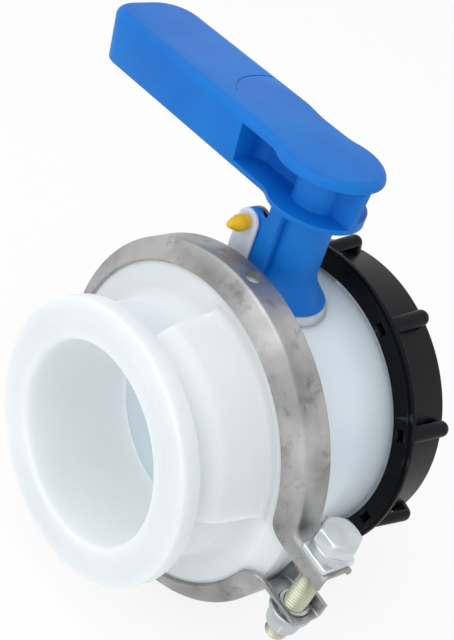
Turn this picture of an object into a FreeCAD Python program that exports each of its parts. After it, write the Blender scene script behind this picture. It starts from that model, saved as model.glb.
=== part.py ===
import FreeCAD, Part
import os
import re
import Sketcher
from FreeCAD import Placement, Rotation, Vector

# Butterfly valve for an intermediate bulk container: a weld-on neck, a V-band clamp,
# a white valve body with a disc inside, a blue lever and a black outlet cap.
#
# Frame: millimetres, +X along the flow from the tank to the outlet, +Z up the spindle.
# The origin is the middle of the inlet bore's mouth, on the weld face of the neck.
# The lever is modelled closed, across the pipe, with its grip towards +Y.

doc = FreeCAD.newDocument("tank_valve")

# ---------------------------------------------------------------- driving sizes
SIZES = [
    ("bore_d", 68, "inlet bore"),
    ("weld_wall", 13.75, "weld flange, wall around the inlet bore"),
    ("weld_len", 8, "weld flange, along the pipe"),
    ("weld_round", 1, "round on the weld flange's outer edge"),
    ("weld_slope", 2.5, "run from the weld flange down to the neck"),
    ("neck_step", 4.55, "step from the weld flange down to the neck"),
    ("neck_fillet", 5, "fillet from the neck to its clamp collar"),
    ("pad_start_x", 12, "grip pad, front end"),
    ("pad_crest_x", 19, "grip pad, end of its front ramp"),
    ("pad_crest_h", 4.5, "grip pad over the neck, at the ramp's end"),
    ("pad_rear_h", 7.2, "grip pad over the neck, at the collar"),
    ("pad_from", 3, "grip pad, first edge, degrees from the top"),
    ("pad_sweep", 87, "grip pad, sweep in degrees"),
    ("clamp_x", 43.25, "middle plane of the clamp"),
    ("band_over", 2.5, "clamp band's skin over the collars"),
    ("band_w", 10.5, "clamp band, flat width"),
    ("flank_run", 4.4, "clamp flank, along the pipe"),
    ("flank_drop", 7, "clamp flank, towards the pipe"),
    ("steel_t", 1.4, "clamp sheet thickness"),
    ("seat_gap", 0.1, "clearance of static seats"),
    ("run_gap", 0.3, "clearance of running seats"),
    ("fit_gap", 0.06, "radial clearance of shafts in their holes"),
    ("collar_rise", 6.5, "clamp collars, height of the flank"),
    ("collar_step", 5.7, "clamp collars' step over the valve body"),
    ("gasket_in", 0.8, "neck gasket's middle under the body's skin"),
    ("gasket_w", 4.4, "neck gasket, radial width"),
    ("gasket_t", 3.8, "neck gasket, along the pipe"),
    ("split_angle", 9, "clamp opening, degrees below the side"),
    ("ear_face", 13.2, "clamp ear's outer face from the middle of the opening"),
    ("ear_lip", 3.3, "clamp ear's lip end from the middle of the opening"),
    ("ear_w", 12.8, "clamp ear, along the pipe"),
    ("ear_out", 16, "clamp ear's length over the band"),
    ("ear_bend", 3, "bend radius between ear and lips"),
    ("peep_d", 5.5, "hole in the clamp band"),
    ("peep_angle", 5.5, "hole in the clamp band, degrees from the top"),
    ("bolt_d", 8, "clamp bolt thread"),
    ("bolt_out", 8.8, "clamp bolt over the band"),
    ("bolt_len", 47, "clamp bolt under its head"),
    ("hex_w", 13, "hexagon across flats"),
    ("hex_t", 5.3, "hexagon height"),
    ("bolt_play", 0.4, "bolt hole clearance, in diameter"),
    ("saddle_l", 14, "saddle washer, along the pipe"),
    ("saddle_w", 12.4, "saddle washer, away from the pipe"),
    ("saddle_t", 2.1, "saddle washer plate"),
    ("saddle_collar_d", 13.6, "saddle washer collar"),
    ("saddle_collar_t", 4.1, "saddle washer collar height"),
    ("nut_flange_d", 15, "clinch nut flange"),
    ("nut_flange_t", 2.2, "clinch nut flange height"),
    ("nut_tip_d", 11.4, "clinch nut, small end"),
    ("nut_t", 8.6, "clinch nut, outside the ear"),
    ("nut_spigot_d", 10.8, "clinch nut, collar through the ear"),
    ("nut_spigot_t", 2.4, "clinch nut, collar length"),
    ("stem_x", 67.2, "spindle axis"),
    ("body_wall", 10.8, "valve body, wall around its bore"),
    ("body_root", 5, "fillet from the body to its clamp collar"),
    ("chamber_step", 3, "step from the inlet bore to the bore around the disc"),
    ("seat_rise", 0.7, "disc seat's height in the bore"),
    ("seat_w", 2.4, "disc seat width"),
    ("thread_x", 90, "start of the outlet thread"),
    ("thread_step", 1.4, "outlet thread over the body"),
    ("boss_d", 37, "spindle boss"),
    ("boss_rise", 0.2, "spindle boss over the body"),
    ("pivot_boss_d", 24, "pivot boss under the body"),
    ("pivot_boss_rise", 2.8, "pivot boss under the body"),
    ("lug_gap", 0.8, "clamp to seal lug"),
    ("lug_t", 1.6, "body's seal lug, thickness"),
    ("lever_lug_t", 3.2, "lever's seal lug, thickness"),
    ("lever_lug_y", 2.1, "lever's seal lug, end next to the sleeve"),
    ("lever_web_y", 7.7, "end of the web that carries the lever's seal lug"),
    ("lever_web_in", 3.2, "lever web's depth in the sleeve"),
    ("lug_w", 9.4, "seal lugs, width"),
    ("lug_y", 13.6, "seal lugs, middle"),
    ("pin_h", 21, "seal pin's height over the boss"),
    ("lever_lug_h", 25.9, "top of the lever's lug over the boss"),
    ("lever_lug_r", 5, "round on the lever lug's corner"),
    ("pin_d", 3.8, "seal pin's shank"),
    ("barb_d", 6, "seal pin's barb"),
    ("barb_len", 3.8, "seal pin's barb, length"),
    ("barb_reach", 4, "seal pin's barb, wide end in front of the lug"),
    ("barb_tip_d", 2.2, "seal pin's barb, small end"),
    ("tail_d", 9.2, "seal pin's tail button"),
    ("tail_t", 1.8, "seal pin's tail button, thickness"),
    ("disc_offset", 7.6, "disc plane in front of the spindle axis"),
    ("disc_t", 6, "disc thickness"),
    ("disc_play", 1.8, "bore to the disc's edge"),
    ("disc_bevel", 1, "bevel on the disc's front edge"),
    ("ring_play", 0.6, "seat to the disc seal"),
    ("ring_w", 2.8, "disc seal, width"),
    ("ring_depth", 3.1, "disc seal, radial depth"),
    ("hub_d", 19.2, "disc hub"),
    ("hub_play", 2, "bore to the disc hub's end"),
    ("spindle_d", 12, "spindle, round part"),
    ("square_w", 8.4, "spindle, square drive"),
    ("spindle_foot", 5, "spindle's lower end above the pipe's middle"),
    ("square_over", 1.6, "disc's square on the spindle, past the hub"),
    ("lever_cover", 8.8, "lever's top over the spindle's end"),
    ("grip_up", 8, "start of the lever's square over the boss"),
    ("shoulder_d", 17.6, "spindle shoulder"),
    ("shoulder_in", 3.6, "spindle shoulder's underside below the boss's top"),
    ("shoulder_t", 1.5, "spindle shoulder, thickness"),
    ("gland_d", 18, "gland bush"),
    ("gland_rise", 1.4, "gland bush above the boss"),
    ("oring_t", 1.6, "O-ring section"),
    ("oring_in", 5.1, "lower O-rings from the spindle's shoulder"),
    ("oring_step", 3.2, "step to the upper spindle O-ring"),
    ("pivot_d", 10, "lower pivot"),
    ("pivot_bite", 8, "lower pivot's length in the disc hub"),
    ("pivot_head_d", 17, "lower pivot's head"),
    ("pivot_head_in", 6, "lower pivot's head inside its boss"),
    ("pivot_head_t", 2.4, "lower pivot's head, thickness"),
    ("clip_t", 1.2, "retaining clip's thickness"),
    ("clip_w", 2.6, "retaining clip's radial width"),
    ("clip_bite", 0.8, "retaining clip's depth in its groove"),
    ("lever_t", 19.3, "lever's height"),
    ("lever_up", 33.5, "lever's underside over the boss"),
    ("lever_plate", 3.2, "lever's top plate"),
    ("lever_floor", 2.2, "lever's lower plate"),
    ("lever_wall", 2.6, "lever's side walls"),
    ("lever_head_d", 37.2, "lever's head"),
    ("lever_w", 33.4, "lever's grip, width"),
    ("lever_shift", 1.8, "lever's grip, middle past the spindle axis"),
    ("lever_len", 107.4, "lever's tip from the spindle axis"),
    ("lever_taper", 5, "lever's side walls, degrees"),
    ("tip_near_r", 9, "round on the grip's corner, window side"),
    ("tip_far_r", 12, "round on the grip's other corner"),
    ("waist_in", 1.6, "lever's waist, in from the grip's side"),
    ("waist_start", 22, "end of the waist from the spindle axis"),
    ("waist_end", 31, "start of the grip's full width from the spindle axis"),
    ("grip_hollow_y", 32.5, "start of the hollow in the grip from the spindle axis"),
    ("lever_rib", 1.8, "cross ribs in the grip"),
    ("lever_rib_up", 4, "cross ribs above the underside"),
    ("lever_crown", 3, "round on the top edge"),
    ("window_end", 28, "side window's end from the spindle axis"),
    ("window_back", 1.4, "side window's back wall in front of the spindle axis"),
    ("sleeve_d", 17, "lever's sleeve"),
    ("bell_d", 29, "bell at the foot of the sleeve"),
    ("bell_slope", 7.4, "bell's slope up to the sleeve, height"),
    ("bell_rim", 1.2, "bell's upright rim"),
    ("bell_gap", 0.3, "bell above the boss"),
    ("bell_wall", 2.6, "bell's wall"),
    ("bell_room", 1.1, "room inside the bell above the gland"),
    ("stop_w", 24, "stop blocks, degrees"),
    ("stop_play", 1, "stop blocks, degrees free at each end"),
    ("swing", 90, "lever's swing"),
    ("cap_front", 91.2, "cap's front lip"),
    ("cap_back", 113.9, "cap's end"),
    ("cap_lip", 6.8, "cap's front lip over the thread"),
    ("cap_ring_out", 1.3, "cap's front ring over its lip"),
    ("cap_ring_x", 92.2, "cap's front ring, front face"),
    ("cap_ring_t", 2, "cap's front ring, thickness"),
    ("cap_skirt_in", 1.3, "cap's skirt under its lip"),
    ("cap_draft", 2, "cap's skirt, slope from ring to end"),
    ("cap_wall", 2.5, "cap's end wall"),
    ("cap_round", 2, "round on the cap's end"),
    ("cap_gasket_t", 1.8, "cap gasket"),
    ("rib_count", 9, "cap's grip bars"),
    ("rib_from", 29, "first grip bar, degrees from the top"),
    ("rib_d", 6.6, "grip bar's width"),
    ("rib_rise", 2, "grip bar's rise from front to back"),
    ("rib_end_x", 111, "grip bar's back end"),
    ("rib_foot", 3.6, "grip bar's foot on the skirt, along the pipe"),
    ("rib_over", 4.5, "grip bars over the skirt"),
    ("port_w", 4.6, "tunnels under the grip bars, width"),
    ("port_in", 2.2, "tunnels' inner face over the thread"),
    ("port_down", 1.5, "tunnels' outer face under the bars' axis"),
]

# ---------------------------------------------------------------- sizes that follow from them
TIED = [
    ("weld_d", "bore_d + 2 * weld_wall", "weld flange, outside"),
    ("chamber_d", "bore_d + 2 * chamber_step", "bore around the disc"),
    ("body_d", "chamber_d + 2 * body_wall", "valve body, outside"),
    ("neck_d", "weld_d - 2 * neck_step", "neck, outside"),
    ("pad_crest_d", "neck_d + 2 * pad_crest_h", "grip pad, diameter at the ramp's end"),
    ("pad_rear_d", "neck_d + 2 * pad_rear_h", "grip pad, diameter at the collar"),
    ("collar_root_d", "body_d + 2 * collar_step", "clamp collars, small end of the flank"),
    ("collar_d", "collar_root_d + 2 * collar_rise", "clamp collars, outside"),
    ("band_d", "collar_d + 2 * band_over", "clamp band, outside"),
    ("gasket_mid_d", "body_d - 2 * gasket_in", "neck gasket, middle of its section"),
    ("ear_end_r", "band_d / 2 + ear_out", "clamp ear's outer end from the pipe's middle"),
    ("bolt_r", "band_d / 2 + bolt_out", "clamp bolt from the pipe's middle"),
    ("seat_d", "chamber_d - 2 * seat_rise", "disc seat in the bore"),
    ("disc_d", "chamber_d - 2 * disc_play", "disc diameter"),
    ("ring_d", "seat_d - 2 * ring_play", "disc seal, outside"),
    ("thread_d", "body_d + 2 * thread_step", "outlet thread, outside"),
    ("boss_z", "body_d / 2 + boss_rise", "top of the spindle boss"),
    ("pivot_boss_z", "body_d / 2 + pivot_boss_rise", "end of the pivot boss below the axis"),
    ("pin_z", "boss_z + pin_h", "seal pin's height"),
    ("lever_lug_z", "boss_z + lever_lug_h", "top of the lever's lug"),
    ("hub_z", "chamber_d / 2 - hub_play", "disc hub's end from the pipe's middle"),
    ("spindle_square_z", "hub_z + square_over", "upper end of the square in the disc"),
    ("shoulder_z", "boss_z - shoulder_in", "spindle shoulder, underside"),
    ("spindle_grip_z", "boss_z + grip_up", "start of the square in the lever"),
    ("lever_base", "boss_z + lever_up", "underside of the lever"),
    ("lever_top", "lever_base + lever_t", "top of the lever"),
    ("spindle_top", "lever_top - lever_cover", "spindle's upper end"),
    ("oring_low", "shoulder_z - oring_in", "lower spindle O-ring's height, and the pivot O-ring's depth"),
    ("pivot_top", "hub_z - pivot_bite", "lower pivot's upper end below the pipe's middle"),
    ("pivot_head_z", "pivot_boss_z - pivot_head_in", "lower pivot's head, inner face below the middle"),
    ("cap_lip_d", "thread_d + 2 * cap_lip", "cap's front lip, outside"),
    ("cap_ring_d", "cap_lip_d + 2 * cap_ring_out", "cap's front ring, outside"),
    ("cap_skirt_front_d", "cap_lip_d - 2 * cap_skirt_in", "cap's skirt behind the ring"),
    ("cap_skirt_back_d", "cap_skirt_front_d - 2 * cap_draft", "cap's skirt at the end"),
    ("rib_top_d", "cap_skirt_front_d + 2 * rib_over", "over the grip bars"),
    ("port_in_d", "thread_d + 2 * port_in", "tunnels under the grip bars, inner face"),
    ("port_out_d", "rib_top_d - rib_d - 2 * port_down", "tunnels under the grip bars, outer face"),
]
sheet = doc.addObject("Spreadsheet::Sheet", "sizes")
for row, (alias, value, note) in enumerate(SIZES + TIED, start=1):
    sheet.set(f"A{row}", note)
    sheet.set(f"B{row}", f"={value}")
    sheet.setAlias(f"B{row}", alias)
doc.recompute()
ALIASES = {alias for alias, _, _ in SIZES + TIED}


# ---------------------------------------------------------------- helpers
def linked(expression):
    """An expression in the sheet's words, written so that any object can use it."""
    return re.sub(r"[a-z_]\w*", lambda word: "sizes." + word[0] if word[0] in ALIASES else word[0],
                  str(expression))


def value_of(expression):
    """The expression's value now."""
    result = sheet.evalExpression(linked(expression).replace("sizes.", ""))
    return float(getattr(result, "Value", result))


def bind(item, **expressions):
    """Ties properties to the sheet. A double underscore stands for a dot."""
    for name, expression in expressions.items():
        item.setExpression(name.replace("__", "."), linked(expression))
    return item


def solid(kind, name, at=(0, 0, 0), turn=None, **expressions):
    """A Part primitive with its sizes and its place tied to the sheet."""
    item = doc.addObject(kind, name)
    if turn:
        item.Placement = Placement(Vector(), turn)
    bind(item, **expressions)
    for axis, expression in zip("xyz", at):
        item.setExpression(f"Placement.Base.{axis}", linked(expression))
    return item


ALONG_X = Rotation(Vector(0, 1, 0), 90)


def rod(name, diameter, start, end, at=("stem_x", 0), axis="Z"):
    """A cylinder between two stations of an axis parallel to X or Z."""
    if axis == "X":
        place, turn = (start, at[0], at[1]), ALONG_X
    else:
        place, turn = (at[0], at[1], start), None
    return solid("Part::Cylinder", name, place, turn, Radius=f"({diameter}) / 2",
                 Height=f"({end}) - ({start})")


def block(name, low, high):
    """A box between two corners."""
    spans = [f"({top}) - ({base})" for base, top in zip(low, high)]
    return solid("Part::Box", name, low, Length=spans[0], Width=spans[1], Height=spans[2])


def fuse(name, *items):
    joined = doc.addObject("Part::MultiFuse", name)
    joined.Shapes = list(items)
    joined.Refine = True
    return joined


def cut(name, base, *tools):
    cutter = tools[0] if len(tools) == 1 else fuse(name + "_cutters", *tools)
    result = doc.addObject("Part::Cut", name)
    result.Base = base
    result.Tool = cutter
    result.Refine = True
    return result


def origin_of(body, role):
    return next(item for item in body.Origin.OriginFeatures if item.Role == role)


def outline(body, name, role, points, offset=None):
    """A closed outline of straight lines, each corner tied to the sheet."""
    sketch = body.newObject("Sketcher::SketchObject", name)
    sketch.AttachmentSupport = (origin_of(body, role), [""])
    sketch.MapMode = "FlatFace"
    corners = [Vector(value_of(u), value_of(v), 0) for u, v in points]
    count = len(corners)
    for index in range(count):
        sketch.addGeometry(Part.LineSegment(corners[index], corners[(index + 1) % count]))
    for index, (u, v) in enumerate(points):
        sketch.addConstraint(Sketcher.Constraint("Coincident", index, 2, (index + 1) % count, 1))
        for way, expression, place in (("DistanceX", u, corners[index].x),
                                       ("DistanceY", v, corners[index].y)):
            number = sketch.addConstraint(Sketcher.Constraint(way, -1, 1, index, 1, place))
            sketch.setExpression(f"Constraints[{number}]", linked(expression))
    if offset is not None:
        sketch.setExpression("AttachmentOffset.Base.z", linked(offset))
    return sketch


def revolved(name, axis, points, angle=None, start=None):
    """A body turned from an outline of (along the axis, radius) about X or (radius, height) about Z.

    With an angle it is a sector, swept from its start towards -Y when seen from the top.
    """
    body = doc.addObject("PartDesign::Body", name)
    sketch = outline(body, name + "_outline", "XZ_Plane", points)
    turn = body.newObject("PartDesign::Revolution", name + "_turned")
    turn.Profile = sketch
    turn.ReferenceAxis = (origin_of(body, axis + "_Axis"), [""])
    turn.Angle = 360
    if angle is not None:
        bind(turn, Angle=angle)
        doc.recompute()
        if turn.Shape.CenterOfMass.y > 0:
            turn.Reversed = True
        body.Placement = Placement(Vector(), Rotation(Vector(1, 0, 0), value_of(start)))
        body.setExpression("Placement.Rotation.Angle", linked(start))
    doc.recompute()
    return body


def soften(body, name, radius, wanted):
    """Rounds the edges of a body that the test picks."""
    doc.recompute()
    base = body.Tip
    edges = [f"Edge{number}" for number, edge in enumerate(base.Shape.Edges, start=1) if wanted(edge)]
    if not edges:
        raise ValueError(f"no edge to round on {name}")
    fillet = body.newObject("PartDesign::Fillet", name)
    fillet.Base = (base, edges)
    bind(fillet, Radius=radius)
    doc.recompute()
    return fillet


def hoop(station, diameter, axis="x"):
    """A test for the circle of that diameter at a station of X or Z."""
    place, radius = value_of(station), value_of(diameter) / 2

    def wanted(edge):
        curve = edge.Curve
        if not isinstance(curve, Part.Circle) or abs(curve.Radius - radius) > 0.01:
            return False
        return abs(getattr(curve.Center, axis) - place) < 0.01
    return wanted


def any_of(*tests):
    return lambda edge: any(test(edge) for test in tests)


parts = {}


def keep(node, item):
    """Makes an object the named sub-part."""
    item.Label = node
    parts[node] = item
    return item


# ---------------------------------------------------------------- clamp joint geometry
FLANK_LEN = "sqrt(flank_run ^ 2 + flank_drop ^ 2)"
COLLAR_OFFSET = "(steel_t + seat_gap)"


def flank_x(side, diameter, offset):
    """Station of the V flank at a diameter, offset inwards from the clamp's outer skin."""
    reach = f"(band_w / 2 + (band_d - {diameter}) / 2 * flank_run / flank_drop"
    return f"(clamp_x + {side} * {reach} - {offset} * {FLANK_LEN} / flank_drop))"


JOINT_FRONT = "(clamp_x - seat_gap)"
JOINT_BACK = "(clamp_x + seat_gap)"
COLLAR_FRONT = flank_x(-1, "collar_root_d", COLLAR_OFFSET)
COLLAR_BACK = flank_x(1, "collar_root_d", COLLAR_OFFSET)

# ---------------------------------------------------------------- weld neck
neck = revolved("neck_tube", "X", [
    ("0", "bore_d / 2"),
    ("0", "weld_d / 2"),
    ("weld_len", "weld_d / 2"),
    ("weld_len + weld_slope", "neck_d / 2"),
    (COLLAR_FRONT, "neck_d / 2"),
    (COLLAR_FRONT, "collar_root_d / 2"),
    (flank_x(-1, "collar_d", COLLAR_OFFSET), "collar_d / 2"),
    (JOINT_FRONT, "collar_d / 2"),
    (JOINT_FRONT, "bore_d / 2"),
])
soften(neck, "neck_weld_round", "weld_round", hoop("0", "weld_d"))
soften(neck, "neck_rear_round", "weld_slope / 2", hoop("weld_len", "weld_d"))
soften(neck, "neck_root_fillet", "neck_fillet", hoop(COLLAR_FRONT, "neck_d"))

pads = []
for side, turned in (("near", "pad_from"), ("far", "pad_from + 180")):
    pad = revolved(f"pad_{side}", "X", [
        ("pad_start_x", "neck_d / 2 - 1"),
        ("pad_start_x", "neck_d / 2"),
        ("pad_crest_x", "pad_crest_d / 2"),
        (COLLAR_FRONT + " + seat_gap", "pad_rear_d / 2"),
        (COLLAR_FRONT + " + seat_gap", "neck_d / 2 - 1"),
    ], angle="pad_sweep", start=turned)
    pads.append(pad)
keep("weld_neck", fuse("weld_neck", neck, *pads))

# ---------------------------------------------------------------- neck gasket
gasket = revolved("neck_gasket", "X", [
    (JOINT_BACK + " - seat_gap / 2", "gasket_mid_d / 2 - gasket_w / 2"),
    (JOINT_BACK + " - seat_gap / 2", "gasket_mid_d / 2 + gasket_w / 2"),
    (JOINT_BACK + " + gasket_t", "gasket_mid_d / 2 + gasket_w / 2"),
    (JOINT_BACK + " + gasket_t", "gasket_mid_d / 2 - gasket_w / 2"),
])
soften(gasket, "neck_gasket_round", "gasket_w / 4", lambda edge: True)
keep("neck_gasket", gasket)

# ---------------------------------------------------------------- clamp ring
def band_end(side, radius, run):
    return (f"clamp_x + {side} * ({run})", radius)


SKIN_RUN = "band_w / 2 + flank_run"
SKIN_LIP = "band_d / 2 - flank_drop"
LIP_RUN = f"{SKIN_RUN} - steel_t * flank_drop / {FLANK_LEN}"
LIP_END = f"{SKIN_LIP} - steel_t * flank_run / {FLANK_LEN}"
BAND_IN = "band_d / 2 - steel_t"
BAND_IN_D = "(band_d - 2 * steel_t)"
OPENING = "asin((ear_face - steel_t / 2) / (band_d / 2)) / 1 deg"

band = revolved("clamp_band", "X", [
    band_end(-1, SKIN_LIP, SKIN_RUN),
    band_end(-1, "band_d / 2", "band_w / 2"),
    band_end(1, "band_d / 2", "band_w / 2"),
    band_end(1, SKIN_LIP, SKIN_RUN),
    band_end(1, LIP_END, LIP_RUN),
    (flank_x(1, BAND_IN_D, "steel_t"), BAND_IN),
    (flank_x(-1, BAND_IN_D, "steel_t"), BAND_IN),
    band_end(-1, LIP_END, LIP_RUN),
], angle=f"360 - 2 * {OPENING}", start=f"90 + {OPENING}")

ears = []
for side, word in ((1, "upper"), (-1, "lower")):
    ear = doc.addObject("PartDesign::Body", f"ear_{word}")
    half, inner = "ear_w / 2", "(ear_w / 2 - steel_t)"
    section = outline(ear, f"ear_{word}_section", "XZ_Plane", [
        (f"clamp_x - {half}", f"{side} * ear_lip"),
        (f"clamp_x - {half}", f"{side} * ear_face"),
        (f"clamp_x + {half}", f"{side} * ear_face"),
        (f"clamp_x + {half}", f"{side} * ear_lip"),
        (f"clamp_x + {inner}", f"{side} * ear_lip"),
        (f"clamp_x + {inner}", f"{side} * (ear_face - steel_t)"),
        (f"clamp_x - {inner}", f"{side} * (ear_face - steel_t)"),
        (f"clamp_x - {inner}", f"{side} * ear_lip"),
    ])
    strip = ear.newObject("PartDesign::Pad", f"ear_{word}_strip")
    strip.Profile = section
    bind(strip, Length="ear_end_r")
    doc.recompute()
    if strip.Shape.CenterOfMass.y > 0:
        strip.Reversed = True
    for level, radius, name in (("ear_face", "ear_bend", "skin"),
                                ("(ear_face - steel_t)", "ear_bend - steel_t", "inside")):
        height = value_of(f"{side} * {level}")
        soften(ear, f"ear_{word}_{name}_bend", radius,
               lambda edge: isinstance(edge.Curve, Part.Line)
               and abs(edge.tangentAt(edge.FirstParameter).y) > 0.99
               and abs(edge.CenterOfMass.z - height) < 0.01)
    ears.append(ear)

ear_room = rod("ear_room", "collar_d + 2 * run_gap", "clamp_x - ear_w", "clamp_x + ear_w",
               at=("0", "0"), axis="X")
shank_hole = rod("shank_hole", "bolt_d + bolt_play", "0", "ear_face + 1", at=("clamp_x", "-bolt_r"))
nut_hole = rod("nut_hole", "nut_spigot_d + 2 * seat_gap", "-(ear_face + 1)", "0",
               at=("clamp_x", "-bolt_r"))
ear_pair = cut("ear_pair", fuse("ears", *ears), ear_room, shank_hole, nut_hole)
opened = fuse("clamp_opened", band, ear_pair)


def at_split(item):
    """Turns an object made with the clamp's opening on -Y to the opening's real angle."""
    item.Placement = Placement(Vector(), Rotation(Vector(1, 0, 0), value_of("split_angle")))
    item.setExpression("Placement.Rotation.Angle", linked("split_angle"))
    return item


def on_bolt(item):
    """Puts an object made on the Z axis on the clamp bolt's line."""
    at_split(item)
    item.setExpression("Placement.Base.x", linked("clamp_x"))
    item.setExpression("Placement.Base.y", linked("-bolt_r * cos(split_angle * 1 deg)"))
    item.setExpression("Placement.Base.z", linked("-bolt_r * sin(split_angle * 1 deg)"))
    return item


at_split(opened)
peep = solid("Part::Cylinder", "peep", ("clamp_x", 0, 0), Rotation(Vector(1, 0, 0), 1),
             Radius="peep_d / 2", Height="band_d")
peep.setExpression("Placement.Rotation.Angle", linked("peep_angle"))
keep("clamp_ring", cut("clamp_ring", opened, peep))

# ---------------------------------------------------------------- clamp bolt, washer, nut
SADDLE_Z = "(ear_face + seat_gap)"
HEAD_Z = f"({SADDLE_Z} + saddle_t + saddle_collar_t + seat_gap)"
hexagon = solid("Part::Prism", "bolt_hexagon", (0, 0, HEAD_Z), Circumradius="hex_w / sqrt(3)",
                Height="hex_t")
hexagon.Polygon = 6
crown = solid("Part::Cone", "bolt_crown", (0, 0, HEAD_Z), Radius1="hex_w / 2 + hex_t * 2",
              Radius2="hex_w / 2 - hex_t / 20", Height="hex_t")
head = doc.addObject("Part::Common", "bolt_head")
head.Base, head.Tool = hexagon, crown
shank = rod("bolt_shank", "bolt_d", f"{HEAD_Z} - bolt_len", HEAD_Z, at=("0", "0"))
keep("clamp_bolt", on_bolt(fuse("clamp_bolt", head, shank)))

plate = solid("Part::Box", "saddle_plate", ("-saddle_l / 2", "-saddle_w / 2", SADDLE_Z),
              Length="saddle_l", Width="saddle_w", Height="saddle_t")
collar = rod("saddle_collar", "saddle_collar_d", SADDLE_Z,
             f"{SADDLE_Z} + saddle_t + saddle_collar_t", at=("0", "0"))
saddle_hole = rod("saddle_hole", "bolt_d + bolt_play", "0", HEAD_Z, at=("0", "0"))
keep("saddle_washer", on_bolt(cut("saddle_washer", fuse("saddle_solid", plate, collar), saddle_hole)))

NUT_BORE = "(bolt_d + bolt_play) / 2"
NUT_Z = "-(ear_face + seat_gap)"
nut = revolved("clinch_nut", "Z", [
    (NUT_BORE, f"{NUT_Z} + nut_spigot_t"),
    ("nut_spigot_d / 2", f"{NUT_Z} + nut_spigot_t"),
    ("nut_spigot_d / 2", NUT_Z),
    ("nut_flange_d / 2", NUT_Z),
    ("nut_flange_d / 2", f"{NUT_Z} - nut_flange_t / 2"),
    ("nut_flange_d / 2 - nut_flange_t / 3", f"{NUT_Z} - nut_flange_t"),
    ("nut_tip_d / 2", f"{NUT_Z} - nut_t"),
    (NUT_BORE, f"{NUT_Z} - nut_t"),
])
keep("clinch_nut", on_bolt(nut))

# ---------------------------------------------------------------- valve body
SEAT_X = "(stem_x - disc_offset)"
OUTLET_X = "(cap_back - cap_wall - cap_gasket_t - 2 * seat_gap)"
outside = revolved("body_outside", "X", [
    (JOINT_BACK, "0"),
    (JOINT_BACK, "collar_d / 2"),
    (flank_x(1, "collar_d", COLLAR_OFFSET), "collar_d / 2"),
    (COLLAR_BACK, "collar_root_d / 2"),
    (COLLAR_BACK, "body_d / 2"),
    ("thread_x", "body_d / 2"),
    ("thread_x + (thread_d - body_d) / 2", "thread_d / 2"),
    (OUTLET_X, "thread_d / 2"),
    (OUTLET_X, "0"),
])
soften(outside, "body_root_fillet", "body_root", hoop(COLLAR_BACK, "body_d"))
chamber = revolved("chamber", "X", [
    (JOINT_BACK + " - 1", "0"),
    (JOINT_BACK + " - 1", "chamber_d / 2"),
    (SEAT_X + " - seat_w / 2", "chamber_d / 2"),
    (SEAT_X + " - seat_w / 2", "seat_d / 2"),
    (SEAT_X + " + seat_w / 2", "seat_d / 2"),
    (SEAT_X + " + seat_w / 2", "chamber_d / 2"),
    (OUTLET_X + " + 1", "chamber_d / 2"),
    (OUTLET_X + " + 1", "0"),
])
gasket_groove = revolved("gasket_groove", "X", [
    (JOINT_BACK + " - 1", "gasket_mid_d / 2 - gasket_w / 2 - seat_gap"),
    (JOINT_BACK + " - 1", "gasket_mid_d / 2 + gasket_w / 2 + seat_gap"),
    (JOINT_BACK + " + gasket_t + seat_gap", "gasket_mid_d / 2 + gasket_w / 2 + seat_gap"),
    (JOINT_BACK + " + gasket_t + seat_gap", "gasket_mid_d / 2 - gasket_w / 2 - seat_gap"),
])

WALL = "(chamber_d + body_d) / 4"
boss = rod("spindle_boss", "boss_d", WALL, "boss_z")
pivot_boss = rod("pivot_boss", "pivot_boss_d", "-pivot_boss_z", f"-({WALL})")
LUG_X = "(clamp_x + band_w / 2 + flank_run + lug_gap)"
lug = block("seal_lug", (LUG_X, "lug_y - lug_w / 2", WALL),
            (f"{LUG_X} + lug_t", "lug_y + lug_w / 2", "pin_z"))
lug_top = rod("seal_lug_top", "lug_w", LUG_X, f"{LUG_X} + lug_t", at=("lug_y", "pin_z"),
              axis="X")


def sector(name, inner, outer, base, top, start, sweep):
    """A ring sector about the spindle axis, its start in degrees from +X."""
    pieces = []
    for word, radius in (("outer", outer), ("inner", inner)):
        pieces.append(solid("Part::Cylinder", f"{name}_{word}", ("stem_x", 0, base),
                            Rotation(Vector(0, 0, 1), 1), Radius=radius,
                            Height=f"({top}) - ({base})"))
    bind(pieces[0], Angle=sweep)
    pieces[0].setExpression("Placement.Rotation.Angle", linked(start))
    return cut(name, *pieces)


BELL_Z = "(boss_z + bell_gap)"
BELL_ROOM_D = "(bell_d - 2 * bell_wall)"
BELL_ROOM_TOP = "(boss_z + gland_rise + bell_room)"
TOOTH_AT = 200
STOP_IN = "gland_d / 2 + 3 * run_gap"
STOP_OUT = f"{BELL_ROOM_D} / 2 - run_gap"
STOP_TOP = f"{BELL_ROOM_TOP} - 3 * run_gap"
closed_stop = sector("closed_stop", STOP_IN, STOP_OUT, "boss_z - 1", STOP_TOP,
                     f"{TOOTH_AT} + stop_w / 2 + stop_play", "stop_w")
open_stop = sector("open_stop", STOP_IN, STOP_OUT, "boss_z - 1", STOP_TOP,
                   f"{TOOTH_AT} - swing - 3 * stop_w / 2 - stop_play", "stop_w")

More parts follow.
